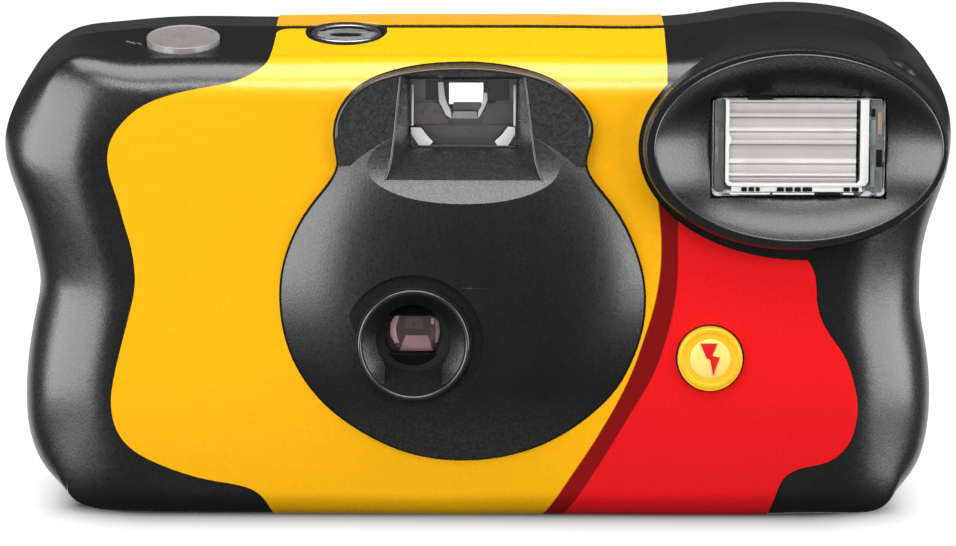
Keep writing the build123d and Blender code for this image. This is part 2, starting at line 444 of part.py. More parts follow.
# clear of the battery, the thumbwheel scoop and the film
main_frame = main_frame - cx(BAT_Y, BAT_Z, BAT_R + 0.15, BAT_X - 0.6, 28.2)
main_frame = main_frame - bx(-29.0, -22.3, -14, 16, 0, 3.4) - bx(-13.3, 9.5, -14, -9.5, 42.9, 59.0) - bx(-24.2, -10.8, 12.5, 15.5, 37.2, 40.6)
main_frame = main_frame - bx(-38.0, -27.0, 13.7, 17.2, 5.4, 43.0)
main_frame = main_frame - scoop_room
main_frame = main_frame - bx(-31.0, 39.5, FILM_Y - 0.18, 17.0, 5.7, 41.3)
main_frame = main_frame - cz(CART_X, CART_Y, 4.0, 44.0, 47.0)        # bearing of the thumbwheel
SPR_X, SPR_Y = -17.5, 8.8
CTR_X, CTR_Y = -18.9, 4.2
HEL_X, HEL_Y = -9.5, 0.0                                             # high-energy lever's pivot
MET_X, MET_Y = -19.5, -6.8                                           # metering lever's pivot
main_frame = main_frame + cz(SPR_X, SPR_Y, 2.6, 34.0, 36.6) - cz(SPR_X, SPR_Y, 1.3, 34.8, 36.7) - cz(SPR_X, SPR_Y, 1.57, 45.0, 47.0)
main_frame = main_frame + cz(CTR_X, CTR_Y, 1.0, 46.4, 55.2)
main_frame = main_frame + cz(HEL_X, HEL_Y, 0.93, 40.4, 45.6)
main_frame = main_frame + cz(MET_X, MET_Y, 0.93, 46.4, 49.2)
main_frame = main_frame + cy(-12.5, 31.5, 0.8, -10.3, -8.8)          # shutter pivot
main_frame = main_frame + cz(-23.6, -8.6, 0.9, 46.4, 53.6)           # post of the pawl
put("main_frame", main_frame)
if len(main_frame.solids()) > 1:
    print("FRAME PIECES", [(round(q.volume, 2), q.bounding_box()) for q in main_frame.solids()])

# --- taking lens and shutter ------------------------------------------
front_lens = (cy(LENS_X, LENS_Z, 4.2, -12.7, -11.0) & (Pos(LENS_X, -12.7 + 9.0, LENS_Z) * Sphere(9.0))) - (Pos(LENS_X, -11.6 + 12.0, LENS_Z) * Sphere(12.0))
put("front_lens_element", front_lens)
put("rear_lens_element", cy(LENS_X, LENS_Z, 3.2, -8.7, -7.1) - (Pos(LENS_X, -8.3 - 12.0, LENS_Z) * Sphere(12.0)))
keeper = bx(-20.0, 3.0, -10.85, -10.05, 17.4, 36.5) - cy(LENS_X, LENS_Z, 2.6, -12, -9)
keeper = keeper + (cy(LENS_X, LENS_Z, 5.4, -12.6, -10.8) - cy(LENS_X, LENS_Z, 4.3, -13, -10.85)) - cy(-12.5, 31.5, 0.87, -11, -10)
for kx, kz in ((-19.3, 18.1), (2.3, 18.1), (-19.3, 35.8), (2.3, 35.8)):
    keeper = keeper + cy(kx, kz, 0.6, -10.1, -8.95)
put("keeper_plate", keeper)
retainer = cy(LENS_X, LENS_Z, 5.2, -12.95, -12.65) - cy(LENS_X, LENS_Z, 3.6, -14, -12)
put("lens_retainer", retainer)
put("aperture_plate", cy(LENS_X, LENS_Z, 3.15, -9.25, -8.95) - cy(LENS_X, LENS_Z, 1.55, -10, -8))
blade = cy(-12.5, 31.5, 2.2, -9.75, -9.45) + cy(LENS_X, LENS_Z, 2.7, -9.75, -9.45)
blade = blade + prism_y([(-14.3, 30.6), (-10.3, 22.1), (-6.4, 25.2), (-10.7, 32.4)], -9.75, -9.45) + bx(-13.4, -11.9, -9.75, -9.45, 32.0, 43.4)
blade = blade - cy(-12.5, 31.5, 0.87, -11, -8)
put("shutter_blade", blade)
spring_pin = cy(-12.5, 31.5, 1.35, -9.40, -9.0) - cy(-12.5, 31.5, 0.95, -10, -8)
put("shutter_spring", spring_pin + bx(-13.75, -13.45, -9.40, -9.05, 31.5, 36.0))

hel = cz(HEL_X, HEL_Y, 1.7, 42.0, 43.2) + bx(HEL_X - 0.7, HEL_X + 0.7, -9.9, 0.0, 42.0, 43.2) + bx(HEL_X, HEL_X + 5.5, -0.7, 0.9, 42.0, 43.2)
hel = hel - cz(HEL_X, HEL_Y, 1.0, 41, 44)
put("high_energy_lever", hel)
lev_spring = cz(HEL_X, HEL_Y, 1.75, 43.5, 45.2) - cz(HEL_X, HEL_Y, 1.35, 43, 46) + bx(HEL_X + 1.3, HEL_X + 1.7, 0.0, 5.5, 44.2, 44.6)
put("lever_spring", lev_spring)

met = cz(MET_X, MET_Y, 1.7, 46.7, 47.9) - cz(MET_X, MET_Y, 1.0, 46, 49)
met = met + (bx(MET_X + 1.2, -15.2, MET_Y - 0.7, MET_Y + 0.7, 46.7, 47.9)) + bx(MET_X - 0.7, MET_X + 0.7, MET_Y + 1.2, 0.8, 46.7, 47.9)
put("metering_lever", met)
put("metering_spring", cz(MET_X, MET_Y, 1.6, 48.1, 49.1) - cz(MET_X, MET_Y, 1.25, 48, 50) + bx(MET_X - 6.0, MET_X - 1.2, MET_Y - 0.2, MET_Y + 0.2, 48.3, 48.7))

# --- film drive -----------------------------------------------------
spr = cz(SPR_X, SPR_Y, 1.5, 36.7, 52.3) + cz(SPR_X, SPR_Y, 1.2, 35.0, 36.8) + cz(SPR_X, SPR_Y, 0.9, 52.2, 54.0)
spr = spr + cz(SPR_X, SPR_Y, 5.0, 37.6, 40.2)
for k in range(8):
    a = math.radians(45 * k)
    spr = spr + (Pos(SPR_X + 5.25 * math.cos(a), SPR_Y + 5.25 * math.sin(a), 38.9) * Rot(0, 0, 45 * k) * Box(1.2, 1.3, 1.8))
spr = spr + (Pos(SPR_X + 1.05, SPR_Y, 53.4) * Box(1.0, 0.5, 1.1))
spr = spr + (cz(SPR_X, SPR_Y, 3.0, 47.2, 48.6) - bx(SPR_X + 1.8, SPR_X + 4, SPR_Y - 0.6, SPR_Y + 0.6, 47, 49))
put("sprocket_shaft", spr)

ctr = cz(CTR_X, CTR_Y, 7.4, 54.3, 55.4) + cz(CTR_X, CTR_Y, 2.95, 52.8, 54.4) - cz(CTR_X, CTR_Y, 1.07, 52, 56)
for k in range(30):
    a = 12 * k
    ctr = ctr - (Pos(CTR_X + 3.0 * math.cos(math.radians(a)), CTR_Y + 3.0 * math.sin(math.radians(a)), 53.5) * Rot(0, 0, a) * Box(0.5, 0.3, 1.6))
put("counter_wheel", ctr)

wheel = cz(CART_X, CART_Y, 12.9, 50.6, 53.6) + cz(CART_X, CART_Y, 3.93, 45.9, 50.7) - cz(CART_X, CART_Y, 2.75, 45.0, 48.9)
for k in range(60):
    a = 6 * k
    wheel = wheel - (Pos(CART_X + 13.0 * math.cos(math.radians(a)), CART_Y + 13.0 * math.sin(math.radians(a)), 52.1) * Rot(0, 0, a) * Box(0.9, 0.55, 4.0))
put("thumbwheel", wheel)
pawl = cz(-23.6, -8.6, 1.6, 50.8, 53.2) - cz(-23.6, -8.6, 1.0, 50, 54)
px0, py0, px1, py1 = -24.9, -8.5, -30.2, -7.1
pl = math.hypot(px1 - px0, py1 - py0)
pawl = pawl + (Pos((px0 + px1) / 2, (py0 + py1) / 2, 52.0) * Rot(0, 0, math.degrees(math.atan2(py1 - py0, px1 - px0))) * Box(pl, 0.7, 1.6))
pawl = pawl - cz(CART_X, CART_Y, 13.15, 50, 54)
put("anti_backup_pawl", pawl)

# --- film -----------------------------------------------------------
shell = cz(CART_X, CART_Y, CART_R, CART_Z0 + 0.5, CART_Z1 - 0.5) - cz(CART_X, CART_Y, CART_R - 0.25, CART_Z0, CART_Z1)
lip = bx(-37.6, -27.6, CART_Y + CART_R - 0.9, CART_Y + CART_R + 0.3, CART_Z0 + 2.6, CART_Z1 - 2.4) - cz(CART_X, CART_Y, CART_R - 0.25, 0, 60)
lip = lip - bx(-34.6, -27.0, FILM_Y - 0.2, FILM_Y + 0.15, 5.7, 41.3)
cartridge_shell = shell + lip
put("cartridge_shell", cartridge_shell)
caps = (cz(CART_X, CART_Y, CART_R, CART_Z0, CART_Z0 + 0.45) - cz(CART_X, CART_Y, 3.0, 0, 10)) , (cz(CART_X, CART_Y, CART_R, CART_Z1 - 0.45, CART_Z1) - cz(CART_X, CART_Y, 3.0, 40, 50))
put("cartridge_end_caps", Compound(children=[caps[0], caps[1]]))
spool = cz(CART_X, CART_Y, 2.6, CART_Z0 + 0.2, 48.4) + cz(CART_X, CART_Y, 5.2, 4.6, 42.4)
spool = spool - bx(CART_X - 0.5, CART_X + 0.5, CART_Y - 3, CART_Y + 3, 46.6, 49)
put("cartridge_spool", spool)
wheel_key = bx(CART_X - 0.42, CART_X + 0.42, CART_Y - 2.8, CART_Y + 2.8, 46.7, 50.7)
NODES["thumbwheel"] = NODES["thumbwheel"] + wheel_key

film = bx(-34.4, 31.0, FILM_Y - 0.1, FILM_Y + 0.05, 6.0, 41.0)
put("film_strip", film + prism_z([(31.0, FILM_Y - 0.1), (31.0, FILM_Y + 0.05), (38.5, 14.35), (38.5, 14.2)], 6.0, 41.0))
put("film_roll", cz(ROLL_X, ROLL_Y, ROLL_R, 6.0, 41.0) - cz(ROLL_X, ROLL_Y, 3.1, 5, 42))
put("film_spool", cz(ROLL_X, ROLL_Y, 3.0, 4.9, 42.0) + cz(ROLL_X, ROLL_Y, 1.5, 3.7, 43.2))

# --- flash electronics ----------------------------------------------
put("circuit_board", bx(5.0, 26.5, -9.95, -8.95, 17.3, 42.8) + bx(26.0, 48.0, -9.95, -8.95, 17.3, 39.0))
put("flash_switch_contact", bx(27.2, 30.8, -10.15, -9.96, 19.0, 22.2))
put("flash_capacitor", cz(20.0, 7.6, 4.4, 8.0, 38.0) + cz(20.0, 7.6, 1.2, 38.0, 39.0))
put("transformer", bx(9.0, 18.0, -8.9, -1.5, 25.0, 33.0))
put("trigger_coil", cx(-6.2, 21.0, 2.4, 9.5, 19.0))
put("board_components", Compound(children=[bx(20.5, 24.5, -8.9, -6.4, 34.5, 38.0), cx(-7.9, 36.5, 0.9, 9.0, 15.0), bx(10.0, 14.0, -8.9, -7.2, 39.5, 42.0), bx(20.0, 25.5, -8.9, -6.9, 27.0, 30.0), bx(45.0, 47.5, -8.9, -7.0, 25.0, 33.0)]))
put("ready_light", cy(13.0, 50.5, 1.3, 7.5, 11.8))
put("ready_light_pipe", cy(13.0, 50.5, 1.5, 12.0, 18.1))
put("sync_contact", Compound(children=[bx(3.3, 4.3, -8.8, -8.5, 34.0, 42.0), bx(3.3, 4.3, -7.6, -7.3, 34.0, 42.0)]))
put("battery", cx(BAT_Y, BAT_Z, BAT_R, BAT_X, BAT_X + 49.2) + cx(BAT_Y, BAT_Z, 2.7, BAT_X + 49.1, BAT_X + 50.4))
put("battery_contact_positive", bx(27.5, 27.9, -10.5, -2.0, 3.5, 14.2) + bx(27.5, 27.9, -9.4, -7.6, 14.0, 16.8))
put("battery_contact_negative", bx(-23.75, -23.35, -10.5, -0.5, 3.5, 14.2) + bx(-23.75, -23.35, -4.0, -1.5, 14.0, 17.0))

for nm, sh in NODES.items():
    b = sh.bounding_box()
    print(nm, type(sh).__name__, len(sh.solids()), round(sh.volume, 1), [round(v, 2) for v in (b.min.X, b.max.X, b.min.Y, b.max.Y, b.min.Z, b.max.Z)], sh.is_valid, flush=True)
    export_step(sh, "parts/%s.step" % nm)
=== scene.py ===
import bpy, bmesh, math, json, random
from mathutils import Vector, Matrix


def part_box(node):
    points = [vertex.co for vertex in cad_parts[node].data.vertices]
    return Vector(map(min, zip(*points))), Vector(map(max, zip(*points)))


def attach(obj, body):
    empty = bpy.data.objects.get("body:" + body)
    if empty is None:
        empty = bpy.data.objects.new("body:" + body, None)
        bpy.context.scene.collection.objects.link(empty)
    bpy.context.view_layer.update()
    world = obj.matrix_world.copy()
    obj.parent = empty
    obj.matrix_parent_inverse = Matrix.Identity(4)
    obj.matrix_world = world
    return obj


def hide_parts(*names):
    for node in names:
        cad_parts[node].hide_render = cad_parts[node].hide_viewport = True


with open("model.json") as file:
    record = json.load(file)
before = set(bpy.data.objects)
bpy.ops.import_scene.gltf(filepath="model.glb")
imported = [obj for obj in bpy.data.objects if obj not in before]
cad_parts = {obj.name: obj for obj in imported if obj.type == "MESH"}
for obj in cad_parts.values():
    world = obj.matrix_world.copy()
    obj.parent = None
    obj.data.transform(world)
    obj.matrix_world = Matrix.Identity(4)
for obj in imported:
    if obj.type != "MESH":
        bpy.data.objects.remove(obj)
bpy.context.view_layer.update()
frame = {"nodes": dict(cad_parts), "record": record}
NODES = frame["nodes"]
random.seed(7)
MM = 0.001

# ------------------------------------------------------------------ studio
scene = bpy.context.scene
scene.view_settings.view_transform = "Standard"
scene.view_settings.look = "None"
scene.view_settings.exposure = 0.0
scene.view_settings.gamma = 1.0

cam_data = bpy.data.cameras.new("camera")
cam = bpy.data.objects.new("camera", cam_data)
scene.collection.objects.link(cam)
cam_data.sensor_width = 36.0
cam_data.lens = 5502.0 / 956.0 * 36.0
cam_data.clip_start, cam_data.clip_end = 0.01, 20.0
ELEV, DIST = math.radians(9.3), 0.70
aim = Vector((0.0, 0.0, 0.0300))
back = Vector((0.0, -math.cos(ELEV), math.sin(ELEV)))
cam.location = aim + back * DIST
look = (Vector((0.0, 0.0, 0.02885)) - cam.location)
cam.rotation_mode = "QUATERNION"
cam.rotation_quaternion = look.to_track_quat("-Z", "Y") @ Matrix.Rotation(math.radians(0.18), 3, "Z").to_quaternion()
scene.camera = cam


def softbox(name, place, target, size, watts, color=(1, 1, 1), spread=180):
    d = bpy.data.lights.new(name, "AREA")
    d.shape = "RECTANGLE"
    d.size, d.size_y = size
    d.energy = watts
    d.color = color
    d.spread = math.radians(spread)
    o = bpy.data.objects.new(name, d)
    scene.collection.objects.link(o)
    o.location = place
    o.rotation_mode = "QUATERNION"
    o.rotation_quaternion = (Vector(target) - Vector(place)).to_track_quat("-Z", "Y")
    return o


mid = (0.0, 0.0, 0.03)


def round_about(az, el, dist):
    a, e = math.radians(az), math.radians(el)
    return (dist * math.sin(a) * math.cos(e), -dist * math.cos(a) * math.cos(e), 0.03 + dist * math.sin(e))


softbox("box_left", round_about(-66.5, 6, 1.0), mid, (1.59, 0.74), 16.4)
softbox("box_right", round_about(73, 6, 1.0), mid, (1.30, 0.74), 13.2)
softbox("box_top", round_about(0, 80, 1.05), mid, (1.5, 0.95), 19.0)
softbox("box_back_strip", round_about(180, 9, 1.2), mid, (1.4, 0.24), 0.11)
softbox("box_back_low", round_about(180, -17, 1.0), mid, (1.6, 0.40), 1.8)
softbox("box_front_top", round_about(0, 37, 1.1), mid, (0.72, 0.30), 4.2)

world = bpy.data.worlds.new("studio")
scene.world = world
world.use_nodes = True
wn, wl = world.node_tree.nodes, world.node_tree.links
wn.clear()
w_out = wn.new("ShaderNodeOutputWorld")
w_mix = wn.new("ShaderNodeMixShader")
w_dim = wn.new("ShaderNodeBackground")
w_dim.inputs["Color"].default_value = (1.0, 1.0, 1.0, 1)
w_dim.inputs["Strength"].default_value = 0.03
w_seen = wn.new("ShaderNodeBackground")
w_seen.inputs["Color"].default_value = (1.0, 1.0, 1.0, 1)
w_seen.inputs["Strength"].default_value = 1.0
w_path = wn.new("ShaderNodeLightPath")
w_any = wn.new("ShaderNodeMath")
w_any.operation = "MAXIMUM"
wl.new(w_path.outputs["Is Camera Ray"], w_any.inputs[0])
wl.new(w_path.outputs["Is Transmission Ray"], w_any.inputs[1])
wl.new(w_any.outputs[0], w_mix.inputs["Fac"])
wl.new(w_dim.outputs[0], w_mix.inputs[1])
wl.new(w_seen.outputs[0], w_mix.inputs[2])
wl.new(w_mix.outputs[0], w_out.inputs["Surface"])


# --------------------------------------------------------------- materials
class Net:
    """A material's node tree with a Principled shader, built step by step."""

    def __init__(self, name, color=(0.5, 0.5, 0.5), rough=0.5, metal=0.0):
        self.m = bpy.data.materials.new(name)
        self.m.use_nodes = True
        self.t = self.m.node_tree
        self.t.nodes.clear()
        self.out = self.t.nodes.new("ShaderNodeOutputMaterial")
        self.p = self.t.nodes.new("ShaderNodeBsdfPrincipled")
        self.t.links.new(self.p.outputs[0], self.out.inputs["Surface"])
        self.p.inputs["Base Color"].default_value = (*color, 1)
        self.p.inputs["Roughness"].default_value = rough
        self.p.inputs["Metallic"].default_value = metal
        self.co = self.t.nodes.new("ShaderNodeTexCoord")
        self.m.diffuse_color = (*color, 1)

    def node(self, kind, **sockets):
        n = self.t.nodes.new(kind)
        for k, v in sockets.items():
            n.inputs[k.replace("_", " ")].default_value = v
        return n

    def link(self, a, b):
        self.t.links.new(a, b)

    def noise(self, size_mm, detail=2.0, rough=0.5, stretch=(1, 1, 1)):
        n = self.t.nodes.new("ShaderNodeTexNoise")
        n.inputs["Scale"].default_value = 1000.0 / size_mm
        n.inputs["Detail"].default_value = detail
        n.inputs["Roughness"].default_value = rough
        if stretch != (1, 1, 1):
            mp = self.t.nodes.new("ShaderNodeMapping")
            mp.inputs["Scale"].default_value = stretch
            self.link(self.co.outputs["Object"], mp.inputs["Vector"])
            self.link(mp.outputs[0], n.inputs["Vector"])
        else:
            self.link(self.co.outputs["Object"], n.inputs["Vector"])
        return n.outputs["Fac"]

    def remap(self, src, a, b, c, d):
        n = self.t.nodes.new("ShaderNodeMapRange")
        n.inputs["From Min"].default_value = a
        n.inputs["From Max"].default_value = b
        n.inputs["To Min"].default_value = c
        n.inputs["To Max"].default_value = d
        self.link(src, n.inputs["Value"])
        return n.outputs["Result"]

    def mix(self, fac, a, b):
        n = self.t.nodes.new("ShaderNodeMix")
        n.data_type = "RGBA"
        for sock, v in ((n.inputs[0], fac), (n.inputs[6], a), (n.inputs[7], b)):
            if isinstance(v, bpy.types.NodeSocket):
                self.link(v, sock)
            elif isinstance(v, (int, float)):
                sock.default_value = v
            else:
                sock.default_value = (*v, 1)
        return n.outputs[2]

    def math(self, op, a, b=None):
        n = self.t.nodes.new("ShaderNodeMath")
        n.operation = op
        for sock, v in ((n.inputs[0], a), (n.inputs[1], b)):
            if v is None:
                continue
            if isinstance(v, bpy.types.NodeSocket):
                self.link(v, sock)
            else:
                sock.default_value = v
        return n.outputs[0]

    def xyz(self):
        n = self.t.nodes.new("ShaderNodeSeparateXYZ")
        self.link(self.co.outputs["Object"], n.inputs[0])
        return n.outputs

    def bump(self, height, strength=0.3, distance_mm=0.05):
        n = self.t.nodes.new("ShaderNodeBump")
        n.inputs["Strength"].default_value = strength
        n.inputs["Distance"].default_value = distance_mm * MM
        self.link(height, n.inputs["Height"])
        self.link(n.outputs[0], self.p.inputs["Normal"])
        return n

    def rough(self, src):
        self.link(src, self.p.inputs["Roughness"])

    def color(self, src):
        self.link(src, self.p.inputs["Base Color"])


def varied(name, a, b, rough=(0.4, 0.5), grain=0.3, strength=0.2, dist=0.03, metal=0.0, blot=6.0, stretch=(1, 1, 1)):
    """Moulded or painted surface: two shades blended by a soft blotch, and a fine grain in the bump and the roughness."""
    n = Net(name, a, sum(rough) / 2, metal)
    big = n.noise(blot, 3)
    fine = n.noise(grain, 2, stretch=stretch)
    n.color(n.mix(n.remap(big, 0.3, 0.7, 0, 1), a, b))
    n.rough(n.remap(fine, 0.3, 0.7, *rough))
    n.bump(fine, strength, dist)
    return n


SHELL = varied("shell_black", (0.0068, 0.0072, 0.0073), (0.0092, 0.0097, 0.0098), (0.24, 0.33), 0.26, 0.34, 0.036)
SHELL.p.inputs["Specular IOR Level"].default_value = 0.95
_x, _y, _z = SHELL.xyz()[0], SHELL.xyz()[1], SHELL.xyz()[2]
# _plate and _foot lift the black shell to the lighter grey _light on the lobe plate beside the finder and on the low
# front of the disc: painted highlights on the same black plastic.
_plate = SHELL.math("MULTIPLY", SHELL.remap(_z, 0.0425, 0.0455, 0, 1), SHELL.remap(_y, -0.0172, -0.0166, 0, 1))
_plate = SHELL.math("MULTIPLY", _plate, SHELL.remap(_y, -0.0120, -0.0100, 1, 0))
_plate = SHELL.math("MULTIPLY", _plate, SHELL.remap(SHELL.math("ABSOLUTE", SHELL.math("ADD", _x, 0.00187)), 0.0165, 0.0185, 1, 0))
_foot = SHELL.math("MULTIPLY", SHELL.remap(_z, 0.0170, 0.0085, 0, 1), SHELL.remap(_y, -0.0142, -0.0150, 0, 1))
_foot = SHELL.math("MULTIPLY", _foot, SHELL.remap(SHELL.math("ABSOLUTE", SHELL.math("ADD", _x, 0.00187)), 0.014, 0.019, 1, 0))
_base = SHELL.mix(SHELL.remap(SHELL.noise(6.0, 3), 0.3, 0.7, 0, 1), (0.0068, 0.0072, 0.0073), (0.0092, 0.0097, 0.0098))
# _light: the lighter grey of those painted highlights, with a fine grain.
_light = SHELL.mix(SHELL.remap(SHELL.noise(0.35, 2), 0.35, 0.65, 0, 1), (0.018, 0.018, 0.018), (0.040, 0.040, 0.039))
SHELL.color(SHELL.mix(SHELL.math("MAXIMUM", _plate, SHELL.math("MULTIPLY", _foot, 0.9)), _base, _light))

FRAME_BLACK = varied("frame_black", (0.010, 0.010, 0.011), (0.016, 0.016, 0.017), (0.45, 0.6), 0.5, 0.2, 0.03)
DARK_SHELL = varied("shell_inner", (0.008, 0.008, 0.009), (0.012, 0.012, 0.013), (0.55, 0.7), 0.4, 0.2, 0.03)


# The second shade of yellow and of red serves both the painted shade at the bottom of the label and its random tone.
YELLOW, YELLOW_SHADE_AND_TONE = (0.92, 0.440, 0.0008), (0.74, 0.360, 0.0008)
RED, RED_SHADE_AND_TONE = (0.78, 0.0055, 0.0085), (0.60, 0.0045, 0.0075)
DEEP = (0.205, 0.0012, 0.0014)

# edges of the deep stripe, as (z mm, x mm)
STRIPE_L = [(0.5, 8.4), (5.9, 12.0), (10.9, 15.2), (17.9, 18.9), (22.9, 20.7), (28.2, 22.2), (34.1, 22.8), (40.0, 22.4), (60.0, 20.0)]
STRIPE_R = [(0.5, 11.0), (6.9, 15.2), (13.8, 19.3), (18.4, 21.9), (23.7, 23.7), (28.8, 24.7), (34.1, 24.9), (40.0, 24.8), (60.0, 24.4)]


def curve_of_z(net, pts):
    """x in mm as a function of z in mm."""
    z = net.math("MULTIPLY", net.xyz()[2], 1000.0 / 64.0)
    n = net.t.nodes.new("ShaderNodeFloatCurve")
    c = n.mapping.curves[0]
    n.mapping.extend = "EXTRAPOLATED"
    c.points[0].location = (pts[0][0] / 64.0, pts[0][1] / 64.0)
    c.points[1].location = (pts[-1][0] / 64.0, pts[-1][1] / 64.0)
    for a, b in pts[1:-1]:
        c.points.new(a / 64.0, b / 64.0)
    n.mapping.update()
    net.link(z, n.inputs["Value"])
    return net.math("MULTIPLY", n.outputs[0], 64.0)


def side(net, edge, soft=0.05):
    """0 left of the edge, 1 right of it."""
    x = net.math("MULTIPLY", net.xyz()[0], 1000.0)
    return net.remap(net.math("SUBTRACT", x, edge), -soft, soft, 0, 1)


LABEL = Net("label_print", YELLOW, 0.3)
# low blends the label to its darker shades from z 20 mm down to z 2 mm: painted shade, darker towards the bottom.
low = LABEL.remap(LABEL.xyz()[2], 0.002, 0.020, 1, 0)
tone = LABEL.remap(LABEL.noise(14.0, 1), 0.3, 0.7, 0.0, 0.08)
yel = LABEL.mix(low, YELLOW, YELLOW_SHADE_AND_TONE)
yel = LABEL.mix(tone, yel, YELLOW_SHADE_AND_TONE)
red = LABEL.mix(low, RED, RED_SHADE_AND_TONE)
red = LABEL.mix(tone, red, RED_SHADE_AND_TONE)
under = LABEL.remap(LABEL.xyz()[2], 0.0440, 0.0438, 0, 1)
c1 = LABEL.mix(LABEL.math("MULTIPLY", side(LABEL, curve_of_z(LABEL, STRIPE_L)), under), yel, DEEP)
c2 = LABEL.mix(LABEL.math("MULTIPLY", side(LABEL, curve_of_z(LABEL, STRIPE_R)), under), c1, red)
LABEL.color(c2)
LABEL.rough(LABEL.remap(LABEL.noise(1.6, 2), 0.3, 0.7, 0.270, 0.280))
LABEL.p.inputs["Specular IOR Level"].default_value = 0.90
LABEL.bump(LABEL.noise(4.0, 1), 0.02, 0.006)

LABEL_Y = Net("label_yellow", YELLOW, 0.3)
LABEL_Y.color(LABEL_Y.mix(LABEL_Y.remap(LABEL_Y.noise(9.0, 2), 0.3, 0.7, 0, 0.15), YELLOW, YELLOW_SHADE_AND_TONE))
LABEL_Y.rough(LABEL_Y.remap(LABEL_Y.noise(1.6, 2), 0.3, 0.7, 0.270, 0.280))
LABEL_Y.p.inputs["Specular IOR Level"].default_value = 0.90
LABEL_Y.bump(LABEL_Y.noise(4.0, 1), 0.02, 0.006)


def clear(name, tint=(1, 1, 1), rough=0.03, ior=1.49, alpha=None):
    """Clear moulded plastic, with a slight ripple from the mould."""
    n = Net(name, tint, rough)
    n.p.inputs["Transmission Weight"].default_value = 1.0
    n.p.inputs["IOR"].default_value = ior
    n.color(n.mix(n.remap(n.noise(4.0, 2), 0.3, 0.7, 0, 1), tint, tuple(c * 0.97 for c in tint)))
    n.rough(n.remap(n.noise(0.8, 2), 0.3, 0.7, rough * 0.6, rough * 1.4))
    n.bump(n.noise(2.5, 1), 0.05, 0.02)
    return n


CLEAR = clear("clear_plastic", (0.96, 0.97, 0.98))
TINT = clear("lens_plastic", (0.93, 0.78, 0.80), 0.02)
TUBE = clear("glass_tube", (0.97, 0.98, 1.0), 0.01, 1.5)
MIRROR = varied("bright_metal", (0.86, 0.86, 0.86), (0.80, 0.80, 0.81), (0.08, 0.16), 0.8, 0.06, 0.01, 1.0)
BLACKENED = varied("blackened_metal", (0.03, 0.03, 0.03), (0.045, 0.045, 0.045), (0.35, 0.5), 0.3, 0.1, 0.01, 0.6)
STEEL = varied("spring_steel", (0.55, 0.55, 0.56), (0.48, 0.48, 0.49), (0.25, 0.35), 0.2, 0.08, 0.01, 1.0)
GREY = varied("grey_plastic", (0.36, 0.36, 0.37), (0.42, 0.42, 0.43), (0.4, 0.5), 0.4, 0.1, 0.02)
CAN = varied("film_can", (0.055, 0.056, 0.06), (0.075, 0.076, 0.08), (0.25, 0.35), 0.4, 0.05, 0.01, 0.5)
FILM = varied("film", (0.12, 0.055, 0.035), (0.15, 0.07, 0.045), (0.15, 0.25), 0.6, 0.03, 0.01)
BOARD = varied("board", (0.05, 0.11, 0.035), (0.065, 0.14, 0.045), (0.3, 0.4), 0.5, 0.1, 0.02)
BRASS = varied("brass_strip", (0.72, 0.56, 0.28), (0.66, 0.50, 0.25), (0.22, 0.35), 0.3, 0.08, 0.01, 1.0)
SLEEVE = varied("capacitor_sleeve", (0.010, 0.010, 0.018), (0.014, 0.014, 0.024), (0.25, 0.35), 0.6, 0.05, 0.01)
TAPE = varied("coil_tape", (0.62, 0.42, 0.05), (0.54, 0.36, 0.045), (0.35, 0.5), 0.4, 0.15, 0.02)
PARTS = varied("component_body", (0.03, 0.03, 0.032), (0.05, 0.05, 0.052), (0.4, 0.55), 0.4, 0.1, 0.02)
AMBER = varied("amber_plastic", (0.85, 0.16, 0.02), (0.75, 0.13, 0.02), (0.15, 0.25), 0.5, 0.05, 0.01)
JACKET = varied("battery_jacket", (0.03, 0.033, 0.04), (0.04, 0.043, 0.05), (0.22, 0.32), 0.6, 0.04, 0.01, 0.3)
WHITE = varied("white_plastic", (0.80, 0.80, 0.78), (0.76, 0.76, 0.74), (0.35, 0.45), 0.4, 0.06, 0.01)
BUTTON = varied("button_grey", (0.215, 0.195, 0.185), (0.265, 0.242, 0.232), (0.24, 0.34), 0.35, 0.10, 0.012, 0.15, 3.0)
BUTTON_Y = varied("button_yellow", (0.93, 0.50, 0.020), (0.88, 0.46, 0.020), (0.26, 0.34), 0.9, 0.06, 0.012)
CREAM = varied("button_cream", (0.95, 0.72, 0.20), (0.90, 0.66, 0.17), (0.30, 0.38), 0.7, 0.08, 0.012)
BOLT = varied("bolt_red", (0.72, 0.012, 0.016), (0.62, 0.010, 0.014), (0.30, 0.38), 0.7, 0.06, 0.012)

SLOT = {
    "shell_black": SHELL, "label_print": LABEL, "label_yellow": LABEL_Y, "clear_plastic": CLEAR, "glass_tube": TUBE,
    "lens_plastic": TINT, "frame_black": FRAME_BLACK, "bright_metal": MIRROR, "blackened_metal": BLACKENED,
    "spring_steel": STEEL, "grey_plastic": GREY, "film_can": CAN, "film": FILM, "board": BOARD, "brass_strip": BRASS,
    "capacitor_sleeve": SLEEVE, "coil_tape": TAPE, "component_body": PARTS, "amber_plastic": AMBER,
    "battery_jacket": JACKET, "button_grey": BUTTON, "button_yellow": BUTTON_Y, "white_plastic": WHITE}
for sub in frame["record"]["subparts"]:
    o = NODES[sub["node"]]
    o.data.materials.clear()
    o.data.materials.append(SLOT[sub["material_slot"]].m)


# ----------------------------------------------------------- made pieces
MILK = varied("flash_diffuser", (0.50, 0.452, 0.452), (0.58, 0.535, 0.53), (0.16, 0.26), 0.9, 0.06, 0.012, 0.0, 4.0, (1, 1, 6))
